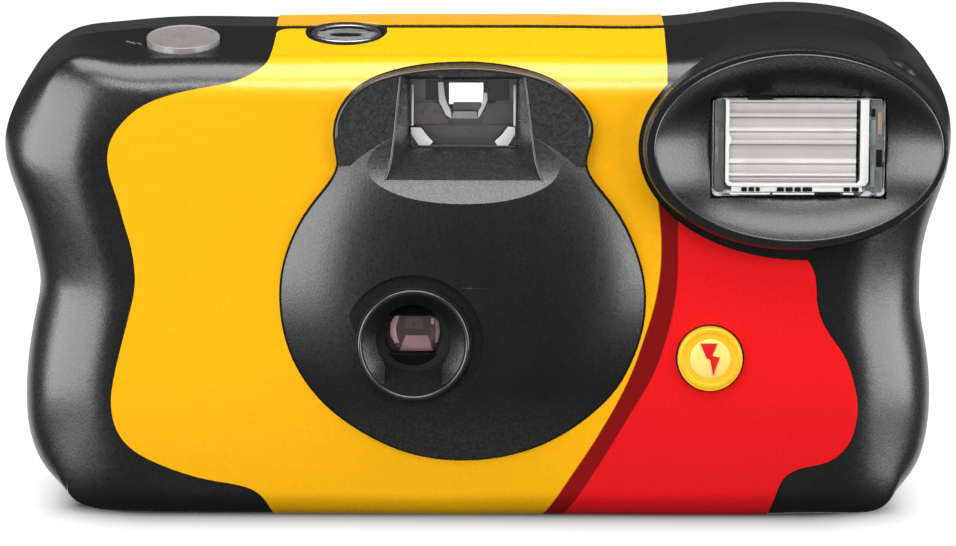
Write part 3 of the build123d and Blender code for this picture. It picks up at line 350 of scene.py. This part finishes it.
# These two lines darken the diffuser in horizontal bands 4.2 mm apart: painted reflection bands of the ribbed window.
_band = MILK.math("SINE", MILK.math("MULTIPLY", MILK.xyz()[2], 2.0 * math.pi / 0.0042))
_band_shade = MILK.remap(_band, -1.0, 1.0, 0.0, 0.55)
MILK.color(MILK.mix(_band_shade, MILK.mix(MILK.remap(MILK.noise(5.0, 3), 0.3, 0.7, 0, 1), (0.56, 0.52, 0.515), (0.66, 0.625, 0.62)), (0.36, 0.31, 0.312)))
MILK_W = varied("flash_diffuser_edge", (0.80, 0.79, 0.775), (0.70, 0.69, 0.68), (0.12, 0.2), 0.9, 0.05, 0.01)
SILVER = varied("finder_bright", (0.74, 0.74, 0.74), (0.62, 0.62, 0.63), (0.18, 0.30), 0.5, 0.10, 0.015, 0.85)
SMOKE = varied("finder_smoke", (0.060, 0.048, 0.044), (0.045, 0.038, 0.036), (0.25, 0.4), 0.6, 0.08, 0.012)
# Pink-brown of the barrel step behind the lens, and of the painted highlight lens_glow_right.
BARREL_AND_HIGHLIGHT = varied("lens_barrel_and_highlight", (0.62, 0.50, 0.48), (0.50, 0.39, 0.38), (0.25, 0.4), 0.8, 0.08, 0.012)
DIAL = varied("dial_plate", (0.34, 0.345, 0.34), (0.28, 0.285, 0.28), (0.2, 0.32), 0.5, 0.06, 0.01)
# Edge beads: the black shell in a lighter, glossier copy; the rounding is modelled, the lighter colour is a painted
# highlight.
BEAD = varied("shell_edge_highlight", (0.030, 0.031, 0.031), (0.042, 0.043, 0.043), (0.16, 0.24), 0.5, 0.06, 0.01)
BEAD.p.inputs["Specular IOR Level"].default_value = 1.0
# Grey and darker grey for plates on the walls and sides of the clear flash window: painted reflections, darker on the
# left side.
GREY_REFLECTION = varied("window_reflection", (0.21, 0.225, 0.215), (0.10, 0.115, 0.11), (0.12, 0.22), 0.8, 0.08, 0.012, 0.0, 1.6, (1, 1, 1))
GREY_REFLECTION_D = varied("window_reflection_dark", (0.085, 0.088, 0.09), (0.14, 0.145, 0.145), (0.12, 0.22), 0.8, 0.08, 0.012, 0.0, 1.6, (1, 1, 1))
# Near-white: the finder bracket arms, and the painted highlights on the rim and corners of the finder window.
BRIGHT_AND_HIGHLIGHT = varied("finder_white_and_highlight", (0.90, 0.90, 0.88), (0.78, 0.78, 0.77), (0.16, 0.28), 0.5, 0.10, 0.015)
SMOKE_R = varied("finder_smoke_warm", (0.105, 0.060, 0.056), (0.060, 0.042, 0.040), (0.2, 0.35), 0.8, 0.08, 0.012, 0.0, 2.0)
# Pale pink of the painted highlights behind the lens.
PINK = varied("lens_glow", (0.99, 0.90, 0.88), (0.88, 0.76, 0.74), (0.2, 0.3), 0.6, 0.08, 0.012)
UMBER = varied("lens_bar", (0.085, 0.050, 0.034), (0.055, 0.034, 0.024), (0.25, 0.4), 0.6, 0.08, 0.012)
# Teal and warm colours for patches on the side of the clear flash window: painted reflections.
TEAL = varied("window_glint", (0.24, 0.30, 0.30), (0.16, 0.19, 0.19), (0.12, 0.22), 0.6, 0.08, 0.012)
RUST = varied("window_glint_warm", (0.42, 0.30, 0.22), (0.30, 0.21, 0.15), (0.12, 0.22), 0.6, 0.08, 0.012)
# INK: dark print and dark parts, and also the painted shade in the lens groove, under the counter ring and on the flash
# window's side.
INK = varied("dial_ink_and_shade", (0.0035, 0.0035, 0.004), (0.006, 0.006, 0.0065), (0.45, 0.55), 0.3, 0.05, 0.01)
INK.p.inputs["Specular IOR Level"].default_value = 0.2


def add(name, verts, faces, net, body, angle=35):
    """A mesh piece from points in millimetres; it rides on a CAD body and takes a material slot."""
    me = bpy.data.meshes.new(name)
    bm = bmesh.new()
    vs = [bm.verts.new((x * MM, y * MM, z * MM)) for x, y, z in verts]
    for f in faces:
        bm.faces.new([vs[i] for i in f])
    bmesh.ops.recalc_face_normals(bm, faces=bm.faces)
    bm.to_mesh(me)
    bm.free()
    me.shade_smooth()
    me.set_sharp_from_angle(angle=math.radians(angle))
    o = bpy.data.objects.new(name, me)
    scene.collection.objects.link(o)
    me.materials.append(net.m)
    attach(o, body)
    return o


def turned(name, prof, centre, axis, net, body, segs=96, tilt=0.0, angle=35):
    """Closed surface of revolution. prof is (radius, height) pairs: from the axis to the axis, or a closed loop that
    stays off the axis. tilt is dz/dy of a plane that the heights lean with."""
    loop = prof[0][0] > 1e-9
    verts, rows = [], []
    for r, h in prof:
        if r < 1e-9:
            rows.append([len(verts)])
            verts.append((0.0, 0.0, h))
        else:
            rows.append(list(range(len(verts), len(verts) + segs)))
            verts += [(r * math.cos(2 * math.pi * k / segs), r * math.sin(2 * math.pi * k / segs), h) for k in range(segs)]
    faces = []
    pairs = list(zip(rows, rows[1:])) + ([(rows[-1], rows[0])] if loop else [])
    for a, b in pairs:
        for k in range(segs):
            m = (k + 1) % segs
            q = [a[k % len(a)], a[m % len(a)], b[m % len(b)], b[k % len(b)]]
            f = []
            for v in q:
                if v not in f:
                    f.append(v)
            faces.append(f)
    out = []
    for x, y, h in verts:
        if axis == "z":
            out.append((centre[0] + x, centre[1] + y, centre[2] + h + tilt * y))
        else:                                   # heights point to the viewer, -Y
            out.append((centre[0] + x, centre[1] - h, centre[2] + y))
    return add(name, out, faces, net, body, angle)


def round_loop(r0, h0, r, n=14, squash=1.0):
    return [(r0 + r * math.cos(2 * math.pi * k / n), h0 + r * squash * math.sin(2 * math.pi * k / n)) for k in range(n)]


def plate(name, outline, y0, y1, net, body, edge=0.0, angle=30):
    """Flat piece with its outline (x, z) facing the viewer; y0 is the front. edge bevels the front rim by that much."""
    n = len(outline)
    cxm = sum(p[0] for p in outline) / n
    czm = sum(p[1] for p in outline) / n
    area = sum(outline[i][0] * outline[(i + 1) % n][1] - outline[(i + 1) % n][0] * outline[i][1] for i in range(n))
    sgn = 1 if area > 0 else -1
    inner = []
    for i in range(n):
        a, b, c = outline[i - 1], outline[i], outline[(i + 1) % n]
        d1 = Vector((b[0] - a[0], b[1] - a[1])).normalized()
        d2 = Vector((c[0] - b[0], c[1] - b[1])).normalized()
        n1 = Vector((-d1.y, d1.x)) * sgn
        n2 = Vector((-d2.y, d2.x)) * sgn
        m = n1 + n2
        if m.length < 1e-6:
            m = n1
        m = m / max(0.35, m.dot(n1))
        inner.append((b[0] + m.x * edge, b[1] + m.y * edge))
    rings = [[(x, y1, z) for x, z in outline]]
    rings.append([(x, y0 + edge, z) for x, z in outline])
    if edge > 0:
        q = 0.3
        rings.append([(x + (xi - x) * q, y0 + edge * q, z + (zi - z) * q) for (x, z), (xi, zi) in zip(outline, inner)])
        rings.append([(x, y0, z) for x, z in inner])
    verts, faces = [], []
    for r in rings:
        verts += r
    for k in range(len(rings) - 1):
        for i in range(n):
            j = (i + 1) % n
            faces.append([k * n + i, k * n + j, (k + 1) * n + j, (k + 1) * n + i])
    faces.append(list(range(n)))
    faces.append([(len(rings) - 1) * n + i for i in range(n)])
    return add(name, verts, faces, net, body, angle)


def bar_x(name, section, x0, x1, net, body, angle=30):
    """Bar along X with the closed section (y, z)."""
    n = len(section)
    verts = [(x0, y, z) for y, z in section] + [(x1, y, z) for y, z in section]
    faces = [[i, (i + 1) % n, n + (i + 1) % n, n + i] for i in range(n)]
    faces += [list(range(n)), list(range(n, 2 * n))]
    return add(name, verts, faces, net, body, angle)


def round_rect(x0, x1, z0, z1, r, n=6):
    pts = []
    for cx_, cz_, a0 in ((x1 - r, z1 - r, 0), (x0 + r, z1 - r, 90), (x0 + r, z0 + r, 180), (x1 - r, z0 + r, 270)):
        for k in range(n + 1):
            a = math.radians(a0 + 90 * k / n)
            pts.append((cx_ + r * math.cos(a), cz_ + r * math.sin(a)))
    return pts


# --- flash window: clear box, ribbed milky diffuser, bright frame ------
lo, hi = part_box("flash_lens")
wx0, wx1 = lo[0] / MM + 1.25, hi[0] / MM - 1.25
wz0, wz1 = lo[2] / MM + 1.2, hi[2] / MM - 1.2
block = plate("flash_window_block", round_rect(wx0, wx1, wz0, wz1, 0.7), -15.5, -11.2, CLEAR, "root", 0.35)
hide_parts("flash_lens")
plate("flash_window_flange", round_rect(lo[0] / MM, hi[0] / MM, lo[2] / MM, hi[2] / MM, 0.8), -11.45, -10.7, CLEAR, "root", 0.15)
cuts = [53.25, 51.35, 49.55, 48.05, 45.55, 43.9, 42.85]
section = [(-15.0, cuts[-1]), (-15.0, cuts[0])]
for top_z, low_z in zip(cuts, cuts[1:]):
    h = top_z - low_z
    for t, d in ((0.0, -16.0), (0.10, -16.0), (0.17, -15.50), (0.33, -15.62), (0.5, -15.68), (0.7, -15.62), (0.84, -15.48), (0.93, -15.9)):
        section.append((d, top_z - h * t))
section.append((-15.9, cuts[-1]))
bar_x("flash_window_ribs", section, 31.0, 46.8, MILK, "root", 25)
plate("flash_window_frame", [(30.6, 53.35), (30.6, 43.0), (30.85, 42.62), (31.5, 42.42), (47.2, 42.42), (47.95, 42.6), (48.35, 43.1), (48.35, 53.35), (47.3, 53.35),
                             (47.3, 43.2), (46.95, 42.86), (31.4, 42.86), (31.05, 43.15), (31.05, 47.6), (31.3, 48.0), (31.3, 48.6), (31.05, 49.0), (31.05, 53.35)],
      -16.1, -15.2, MILK_W, "root", 0.1)
for k, (a, b) in enumerate(((32.6, 33.3), (33.5, 34.2), (34.4, 34.9), (37.0, 37.9), (38.1, 39.0), (39.2, 40.0), (40.2, 41.4), (45.3, 46.1), (46.3, 47.2))):
    plate("flash_window_slot_%d" % k, round_rect(a, b, 41.86, 42.38, 0.12, 3), -16.06, -15.9, INK, "root", 0.05)
plate("flash_window_foot", round_rect(31.4, 47.6, 41.80, 42.41, 0.15, 4), -15.96, -15.3, MILK_W, "root", 0.06)
plate("flash_window_slot_low", round_rect(42.0, 44.9, 41.42, 41.74, 0.12, 3), -15.95, -15.35, INK, "root", 0.06)
for k, (a, b) in enumerate(((31.2, 36.2), (36.5, 41.7), (45.2, 46.6))):
    plate("flash_window_lip_%d" % k, round_rect(a, b, 41.44, 41.68, 0.1, 3), -15.9, -15.3, MILK_W, "root", 0.07)
plate("flash_window_top_dash", round_rect(33.3, 36.6, 53.38, 53.66, 0.1, 3), -15.85, -15.3, INK, "root", 0.05)

# --- flash button: bevelled ring, crowned disc, raised bolt -------------
# Grey plates on the walls and right side of the clear window: painted reflections.
for k, (a, b, c, d) in enumerate(((29.35, 29.75, 45.2, 49.8), (48.9, 49.25, 42.2, 53.0), (50.0, 50.3, 45.5, 52.6))):
    plate("flash_window_wall_%d" % k, round_rect(a, b, c, d, 0.1, 3), -15.62, -15.2, GREY_REFLECTION, "root", 0.07)
plate("flash_window_side", round_rect(48.55, 50.1, 41.7, 53.2, 0.3, 4), -15.56, -13.0, GREY_REFLECTION, "root", 0.12)
# Dark, warm and teal patches on the side of the clear window: painted reflections.
for k, (a, b, c, d, net) in enumerate(((49.3, 50.05, 44.9, 47.1, INK), (49.45, 49.95, 48.9, 51.8, RUST), (48.65, 49.15, 51.2, 52.2, INK), (48.6, 49.2, 47.6, 50.8, TEAL), (48.65, 49.1, 42.4, 45.2, TEAL))):
    plate("flash_window_tab_%d" % k, round_rect(a, b, c, d, 0.14, 3), -15.72, -15.3, net, "root", 0.06)
# Darker grey plate on the left side of the clear window: painted reflection.
plate("flash_window_side_left", round_rect(29.3, 30.45, 41.7, 53.2, 0.3, 4), -15.54, -13.0, GREY_REFLECTION_D, "root", 0.12)
loop_n, tube_n = 160, 12
verts, faces = [], []
for i in range(loop_n):
    t = 2 * math.pi * i / loop_n
    px_, pz_ = 39.6 + 17.72 * math.cos(t), 47.55 + 11.58 * math.sin(t)
    nx_, nz_ = math.cos(t) / 17.72, math.sin(t) / 11.58
    l_ = math.hypot(nx_, nz_)
    nx_, nz_ = nx_ / l_, nz_ / l_
    for q in range(tube_n):
        u = 2 * math.pi * q / tube_n
        verts.append((px_ + nx_ * 0.17 * math.cos(u), -18.17 - 0.15 * math.sin(u), pz_ + nz_ * 0.17 * math.cos(u)))
for i in range(loop_n):
    for q in range(tube_n):
        a, b = (i + 1) % loop_n, (q + 1) % tube_n
        faces.append([i * tube_n + q, a * tube_n + q, a * tube_n + b, i * tube_n + b])
add("flash_rim_bead", verts, faces, BEAD, "root", 80)
FBX, FBZ = 29.0, 20.6
lo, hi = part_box("flash_button")
fr = 4.05
turned("flash_button_ring", [(2.9, 14.2), (2.9, 15.10), (2.98, 15.22), (3.2, 15.32), (3.55, 15.40), (3.8, 15.36), (3.95, 15.24), (4.03, 15.05), (4.05, 14.8), (4.05, 14.2)],
       (FBX, 0.0, FBZ), "y", BUTTON_Y, "flash_switch", 128)
turned("flash_button_disc", [(0, 14.2), (2.86, 14.2), (2.86, 15.05), (2.7, 15.22), (2.35, 15.36), (1.7, 15.46), (0.9, 15.51), (0, 15.52)],
       (FBX, 0.0, FBZ), "y", CREAM, "flash_switch", 96, angle=60)
bolt = [(-1.25, 2.0), (0.87, 2.0), (0.29, 0.47), (1.22, 0.23), (0.38, -2.04), (0.0, -0.06), (-0.44, 0.09)]
plate("flash_button_bolt", [(FBX + x, FBZ + z) for x, z in bolt], -15.62, -15.1, BOLT, "flash_switch", 0.07)

# --- lens: bead round the dish, barrel step behind the front element ----
LX, LZ = -8.1, 23.1
RX, RZ = -7.98, 22.8
turned("lens_bead", round_loop(6.70, 18.28, 0.21, 16, 0.85), (RX, 0.0, RZ), "y", BEAD, "root", 128)
# lens_groove: flat dark ring in the groove round the lens ring: painted shade.
turned("lens_groove", round_loop(7.03, 18.27, 0.11, 12, 0.7), (RX, 0.0, RZ), "y", INK, "root", 128)


def segment(name, up, cut):
    """Dark segment of the lens hood, above or below the straight edge at height cut."""
    half = math.acos(min(1.0, abs(cut) / 3.8))
    mid_a = math.pi / 2 if up else -math.pi / 2
    pts = [(LX + 3.8 * math.cos(mid_a - half + 2 * half * k / 20), LZ + 3.8 * math.sin(mid_a - half + 2 * half * k / 20)) for k in range(21)]
    return plate(name, pts, -13.12, -12.96, INK, "root", 0.05)


segment("lens_hood_top", True, 2.45)
segment("lens_hood_low", False, 2.35)
plate("lens_barrel_step", [(-9.75, 20.9), (-5.75, 20.9), (-6.35, 22.75), (-9.0, 22.75)], -10.95, -10.86, BARREL_AND_HIGHLIGHT, "root", 0.03)
plate("lens_barrel_bar", round_rect(-9.1, -6.9, 23.55, 24.9, 0.2, 4), -10.96, -10.86, UMBER, "root", 0.03)
# lens_glow_left, lens_glow_right and lens_glint are light plates behind the front element where the lens shows
# highlights: painted highlights.
plate("lens_glow_left", [(-10.85, 24.3), (-10.35, 25.1), (-9.75, 25.3), (-9.95, 24.6), (-10.2, 23.6), (-10.05, 22.6), (-9.75, 21.9), (-10.3, 21.8), (-10.85, 22.8)], -10.97, -10.86, PINK, "root", 0.03)
plate("lens_glow_right", [(-5.5, 24.9), (-5.0, 24.5), (-4.85, 23.2), (-5.1, 22.0), (-5.5, 21.8), (-5.4, 23.2)], -10.97, -10.86, BARREL_AND_HIGHLIGHT, "root", 0.03)
plate("lens_glint", round_rect(-5.95, -5.6, 24.1, 24.9, 0.14, 4), -10.98, -10.86, PINK, "root", 0.03)

# --- viewfinder: painted highlights on the rim and corners of the front window, smoked field, bracket -----
plate("finder_rim_left", round_rect(-8.36, -8.08, 49.3, 54.5, 0.1, 3), -11.55, -11.32, BRIGHT_AND_HIGHLIGHT, "root", 0.05)
plate("finder_rim_right", round_rect(4.36, 4.64, 49.3, 54.5, 0.1, 3), -11.55, -11.32, BRIGHT_AND_HIGHLIGHT, "root", 0.05)
plate("finder_corner_left", [(-8.42, 49.1), (-8.42, 48.3), (-7.45, 46.86), (-6.05, 46.86), (-5.66, 47.3), (-6.4, 48.1), (-7.16, 49.1)], -11.60, -11.32, BRIGHT_AND_HIGHLIGHT, "root", 0.10)
plate("finder_corner_right", [(4.58, 49.15), (3.68, 49.26), (2.9, 48.2), (2.05, 47.4), (2.32, 46.86), (3.7, 46.86), (4.58, 48.25)], -11.60, -11.32, BRIGHT_AND_HIGHLIGHT, "root", 0.10)
plate("finder_arm_left", [(-5.06, 54.6), (-4.40, 54.6), (-4.15, 52.5), (-3.45, 50.95), (-3.38, 50.05), (-4.1, 50.5), (-4.95, 52.2)], -9.62, -9.50, BRIGHT_AND_HIGHLIGHT, "root", 0.04)
plate("finder_arm_right", [(1.08, 53.3), (0.55, 53.3), (0.42, 51.8), (-0.05, 50.9), (-0.02, 50.05), (0.6, 51.1), (1.12, 52.3)], -9.62, -9.50, BRIGHT_AND_HIGHLIGHT, "root", 0.04)
plate("finder_arm_foot", [(-3.36, 50.05), (-0.06, 50.05), (-0.3, 50.95), (-3.1, 50.95)], -9.60, -9.50, DIAL, "root", 0.04)
plate("finder_bar", round_rect(-3.15, 0.38, 51.15, 52.15, 0.1, 3), -9.60, -9.50, SMOKE_R, "root", 0.04)
plate("finder_block_left", round_rect(-6.65, -5.2, 52.35, 54.9, 0.2, 4), -9.60, -9.50, INK, "root", 0.04)
plate("finder_block_right", round_rect(1.30, 3.85, 52.35, 54.9, 0.2, 4), -9.60, -9.50, INK, "root", 0.04)
plate("finder_field_left", [(-8.0, 51.95), (-5.1, 51.95), (-4.2, 50.35), (-3.6, 49.3), (-8.0, 49.3)], -9.58, -9.48, SMOKE_R, "root", 0.03)
plate("finder_field_right", [(1.15, 51.95), (4.35, 51.95), (4.35, 49.3), (0.2, 49.3), (0.65, 50.7)], -9.58, -9.48, SMOKE, "root", 0.03)
plate("finder_field_low", [(-8.0, 49.2), (4.35, 49.2), (4.35, 48.6), (2.4, 47.1), (-6.0, 47.1), (-8.0, 48.6)], -9.58, -9.48, SMOKE, "root", 0.03)


def bead(name, path, r, net, body, n=10):
    """Closed round bar along a path of points, in mm."""
    pts = [Vector(p) for p in path]
    verts, faces = [], []
    for i, p in enumerate(pts):
        d = (pts[min(i + 1, len(pts) - 1)] - pts[max(i - 1, 0)]).normalized()
        e1 = d.cross(Vector((0, 1, 0))).normalized()
        e2 = d.cross(e1).normalized()
        rr = r * (0.55 if i in (0, len(pts) - 1) else 1.0)
        for q in range(n):
            u = 2 * math.pi * q / n
            verts.append(tuple(p + e1 * rr * math.cos(u) + e2 * rr * math.sin(u)))
    for i in range(len(pts) - 1):
        for q in range(n):
            w = (q + 1) % n
            faces.append([i * n + q, i * n + w, (i + 1) * n + w, (i + 1) * n + q])
    faces.append(list(range(n)))
    faces.append([(len(pts) - 1) * n + q for q in range(n)])
    return add(name, verts, faces, net, body, 60)


def run(a, b, n):
    return [tuple(a[i] + (b[i] - a[i]) * k / n for i in range(3)) for k in range(n + 1)]


def bezel(xs):
    """Edge of the finder bezel where it leaves the plate and the facet: x at five heights, the depth follows the plate."""
    zs = (56.0, 48.8, 45.8, 44.2, 43.1)
    ys = (-15.93, -15.94, -16.27, -16.66, -17.02)
    pts = []
    for k in range(4):
        a, b = (xs[k], ys[k], zs[k]), (xs[k + 1], ys[k + 1], zs[k + 1])
        pts += run(a, b, 4)[(1 if k else 0):]
    return pts


bead("finder_edge_left", bezel((-9.70, -10.42, -10.80, -11.20, -11.62)), 0.15, BEAD, "root")
bead("finder_edge_right", bezel((5.74, 6.61, 7.03, 7.52, 8.02)), 0.15, BEAD, "root")
lobe = [(-17.95, 46.9), (-18.0, 48.1), (-17.85, 50.2), (-17.1, 52.2), (-15.6, 54.1), (-13.3, 55.6), (-10.31, 56.6), (-6.21, 57.25), (-1.86, 57.45),
        (2.3, 57.25), (6.2, 56.6), (8.95, 55.65), (11.4, 54.1), (13.2, 52.2), (14.15, 50.2), (14.1, 48.1), (13.85, 46.9)]
path = []
for k in range(1, len(lobe) - 2):
    p0, p1, p2, p3 = (Vector(q) for q in lobe[k - 1:k + 3])
    for m in range(6):
        t = m / 6.0
        q = 0.5 * ((2 * p1) + (p2 - p0) * t + (2 * p0 - 5 * p1 + 4 * p2 - p3) * t * t + (3 * p1 - p0 - 3 * p2 + p3) * t ** 3)
        path.append(q)
inset = []
for k in range(len(path)):
    d = (path[min(k + 1, len(path) - 1)] - path[max(k - 1, 0)]).normalized()
    q = path[k] + Vector((d.y, -d.x)) * 0.42
    inset.append((q.x, -15.96, q.y))
bead("lobe_edge", inset, 0.15, BEAD, "root")
bead("finder_sill", run((-8.3, -11.62, 46.78), (4.6, -11.62, 46.78), 6), 0.12, BEAD, "root")

# --- top: bright ring round the counter window, rim of the shutter button, raised mark
WX, WY, WR = -16.7, -1.0, 4.6


def top_of(x, y):
    """height of the CAD top at (x, y), in mm"""
    best = -1.0
    for n in ("front_cover", "front_label"):
        hit, place, normal, idx = NODES[n].ray_cast(Vector((x * MM, y * MM, 0.08)), Vector((0, 0, -1)))
        if hit:
            best = max(best, place.z / MM)
    return best


WT, zc = 0.130, 59.66
turned("counter_ring", [(3.72, -0.55), (3.72, -0.10), (3.85, 0.04), (4.1, 0.12), (4.35, 0.08), (4.5, -0.08), (4.55, -0.3), (4.55, -0.55)],
       (WX, WY, zc), "z", STEEL, "root", 128, WT)
turned("counter_gasket", [(4.57, -0.5), (4.57, -0.06), (4.68, 0.06), (4.95, 0.13), (5.15, 0.10), (5.28, 0.0), (5.30, -0.5)], (WX, WY, zc), "z", INK, "root", 128, WT)
turned("counter_dial_plate", [(0, -0.9), (3.70, -0.9), (3.70, -0.42), (3.6, -0.36), (0, -0.36)], (WX, WY, zc), "z", DIAL, "root", 96, WT)


def leaf(name, outline, net, h0=-0.38, h1=-0.28):
    """Thin flat piece lying on the dial, outline in x, y from the centre of the dial."""
    n = len(outline)
    verts = []
    for h in (h0, h1):
        verts += [(WX + x, WY + y, zc + y * WT + h) for x, y in outline]
    return add(name, verts, [list(range(n)), list(range(n, 2 * n))] + [[i, (i + 1) % n, n + (i + 1) % n, n + i] for i in range(n)], net, "root")


leaf("counter_dial_mark", [(2.05 * math.cos(2 * math.pi * k / 40), -0.85 + 0.85 * math.sin(2 * math.pi * k / 40)) for k in range(40)], INK)
# counter_crescent: dark crescent on the dial under the far edge of the ring: painted shadow.
crescent = []
for k in range(17):
    a = math.radians(16 + 148 * k / 16)
    crescent.append((3.58 * math.cos(a), 3.58 * math.sin(a)))
for k in range(16, -1, -1):
    a = math.radians(24 + 132 * k / 16)
    crescent.append((3.05 * math.cos(a), 2.15 * math.sin(a) + 0.2))
leaf("counter_crescent", crescent, INK)
BX, BY, BR = -37.1, -4.2, 4.6
zb = 57.45 + (BY + 14.0) * 0.20556
turned("shutter_button_rim", round_loop(4.42, zb - 0.03, 0.17, 14, 0.8), (BX, BY, 0.0), "z", BUTTON, "release_button", 128, 0.20556)
for k, (xa, ya, xb, yb) in enumerate(((-44.3, -3.3, -43.0, -4.4), (-43.4, -3.7, -42.2, -4.9))):
    d = Vector((xb - xa, yb - ya)).normalized()
    w = Vector((-d.y, d.x)) * 0.14
    ring_pts = [(xa + w.x, ya + w.y), (xa - w.x, ya - w.y), (xb - w.x, yb - w.y), (xb + w.x, yb + w.y)]
    low_r = [(x, y, top_of(x, y) - 0.12) for x, y in ring_pts]
    mid_r = [(x, y, top_of(x, y) + 0.05) for x, y in ring_pts]
    cxm, cym = (xa + xb) / 2, (ya + yb) / 2
    top_r = [(cxm + (x - cxm) * 0.9, cym + (y - cym) * 0.9, top_of(x, y) + 0.11) for x, y in ring_pts]
    verts = low_r + mid_r + top_r
    faces = [[0, 1, 2, 3], [8, 9, 10, 11]]
    for q in (0, 4):
        faces += [[q + i, q + (i + 1) % 4, q + 4 + (i + 1) % 4, q + 4 + i] for i in range(4)]
    add("shutter_mark_%d" % k, verts, faces, SHELL, "root")

# ------------------------------------------------------------------ stage
floor_net = Net("floor_white", (0.11, 0.11, 0.11), 0.8)
floor_net.p.inputs["Specular IOR Level"].default_value = 0.0
floor_net.color(floor_net.mix(floor_net.noise(60.0, 3), (0.105, 0.105, 0.107), (0.115, 0.115, 0.117)))
# The floor's emission dims close to the object's base and stays near 0.9 further out: a painted contact shadow.
_ax = floor_net.math("MULTIPLY", floor_net.math("ABSOLUTE", floor_net.xyz()[0]), 1000.0)
_ay = floor_net.math("MULTIPLY", floor_net.math("ABSOLUTE", floor_net.xyz()[1]), 1000.0)
_u = floor_net.remap(_ax, 40.0, 51.0, 0.0, 1.0)
_edge = floor_net.math("SUBTRACT", 11.5, floor_net.math("MULTIPLY", floor_net.math("MULTIPLY", _u, _u), 5.0))
_dy = floor_net.math("MAXIMUM", floor_net.math("SUBTRACT", _ay, _edge), 0.0)
_dx = floor_net.math("MULTIPLY", floor_net.math("MAXIMUM", floor_net.math("SUBTRACT", _ax, 50.3), 0.0), 2.2)
_d = floor_net.math("SQRT", floor_net.math("ADD", floor_net.math("MULTIPLY", _dx, _dx), floor_net.math("MULTIPLY", _dy, _dy)))
_t = floor_net.remap(_d, 0.0, 17.0, 1.0, 0.0)
_v = floor_net.math("SUBTRACT", 1.0, floor_net.math("MULTIPLY", floor_net.math("MULTIPLY", _t, _t), 0.88))
floor_net.p.inputs["Emission Color"].default_value = (1, 1, 1, 1)
floor_net.link(floor_net.math("MAXIMUM", floor_net.math("SUBTRACT", _v, 0.08), 0.0), floor_net.p.inputs["Emission Strength"])
fm = bpy.data.meshes.new("floor")
fm.from_pydata([(-6, -6, 0), (6, -6, 0), (6, 6, 0), (-6, 6, 0)], [], [(0, 1, 2, 3)])
floor = bpy.data.objects.new("floor", fm)
scene.collection.objects.link(floor)
fm.materials.append(floor_net.m)
floor.visible_glossy = False
floor.visible_diffuse = False
floor.visible_transmission = False
floor.visible_shadow = False
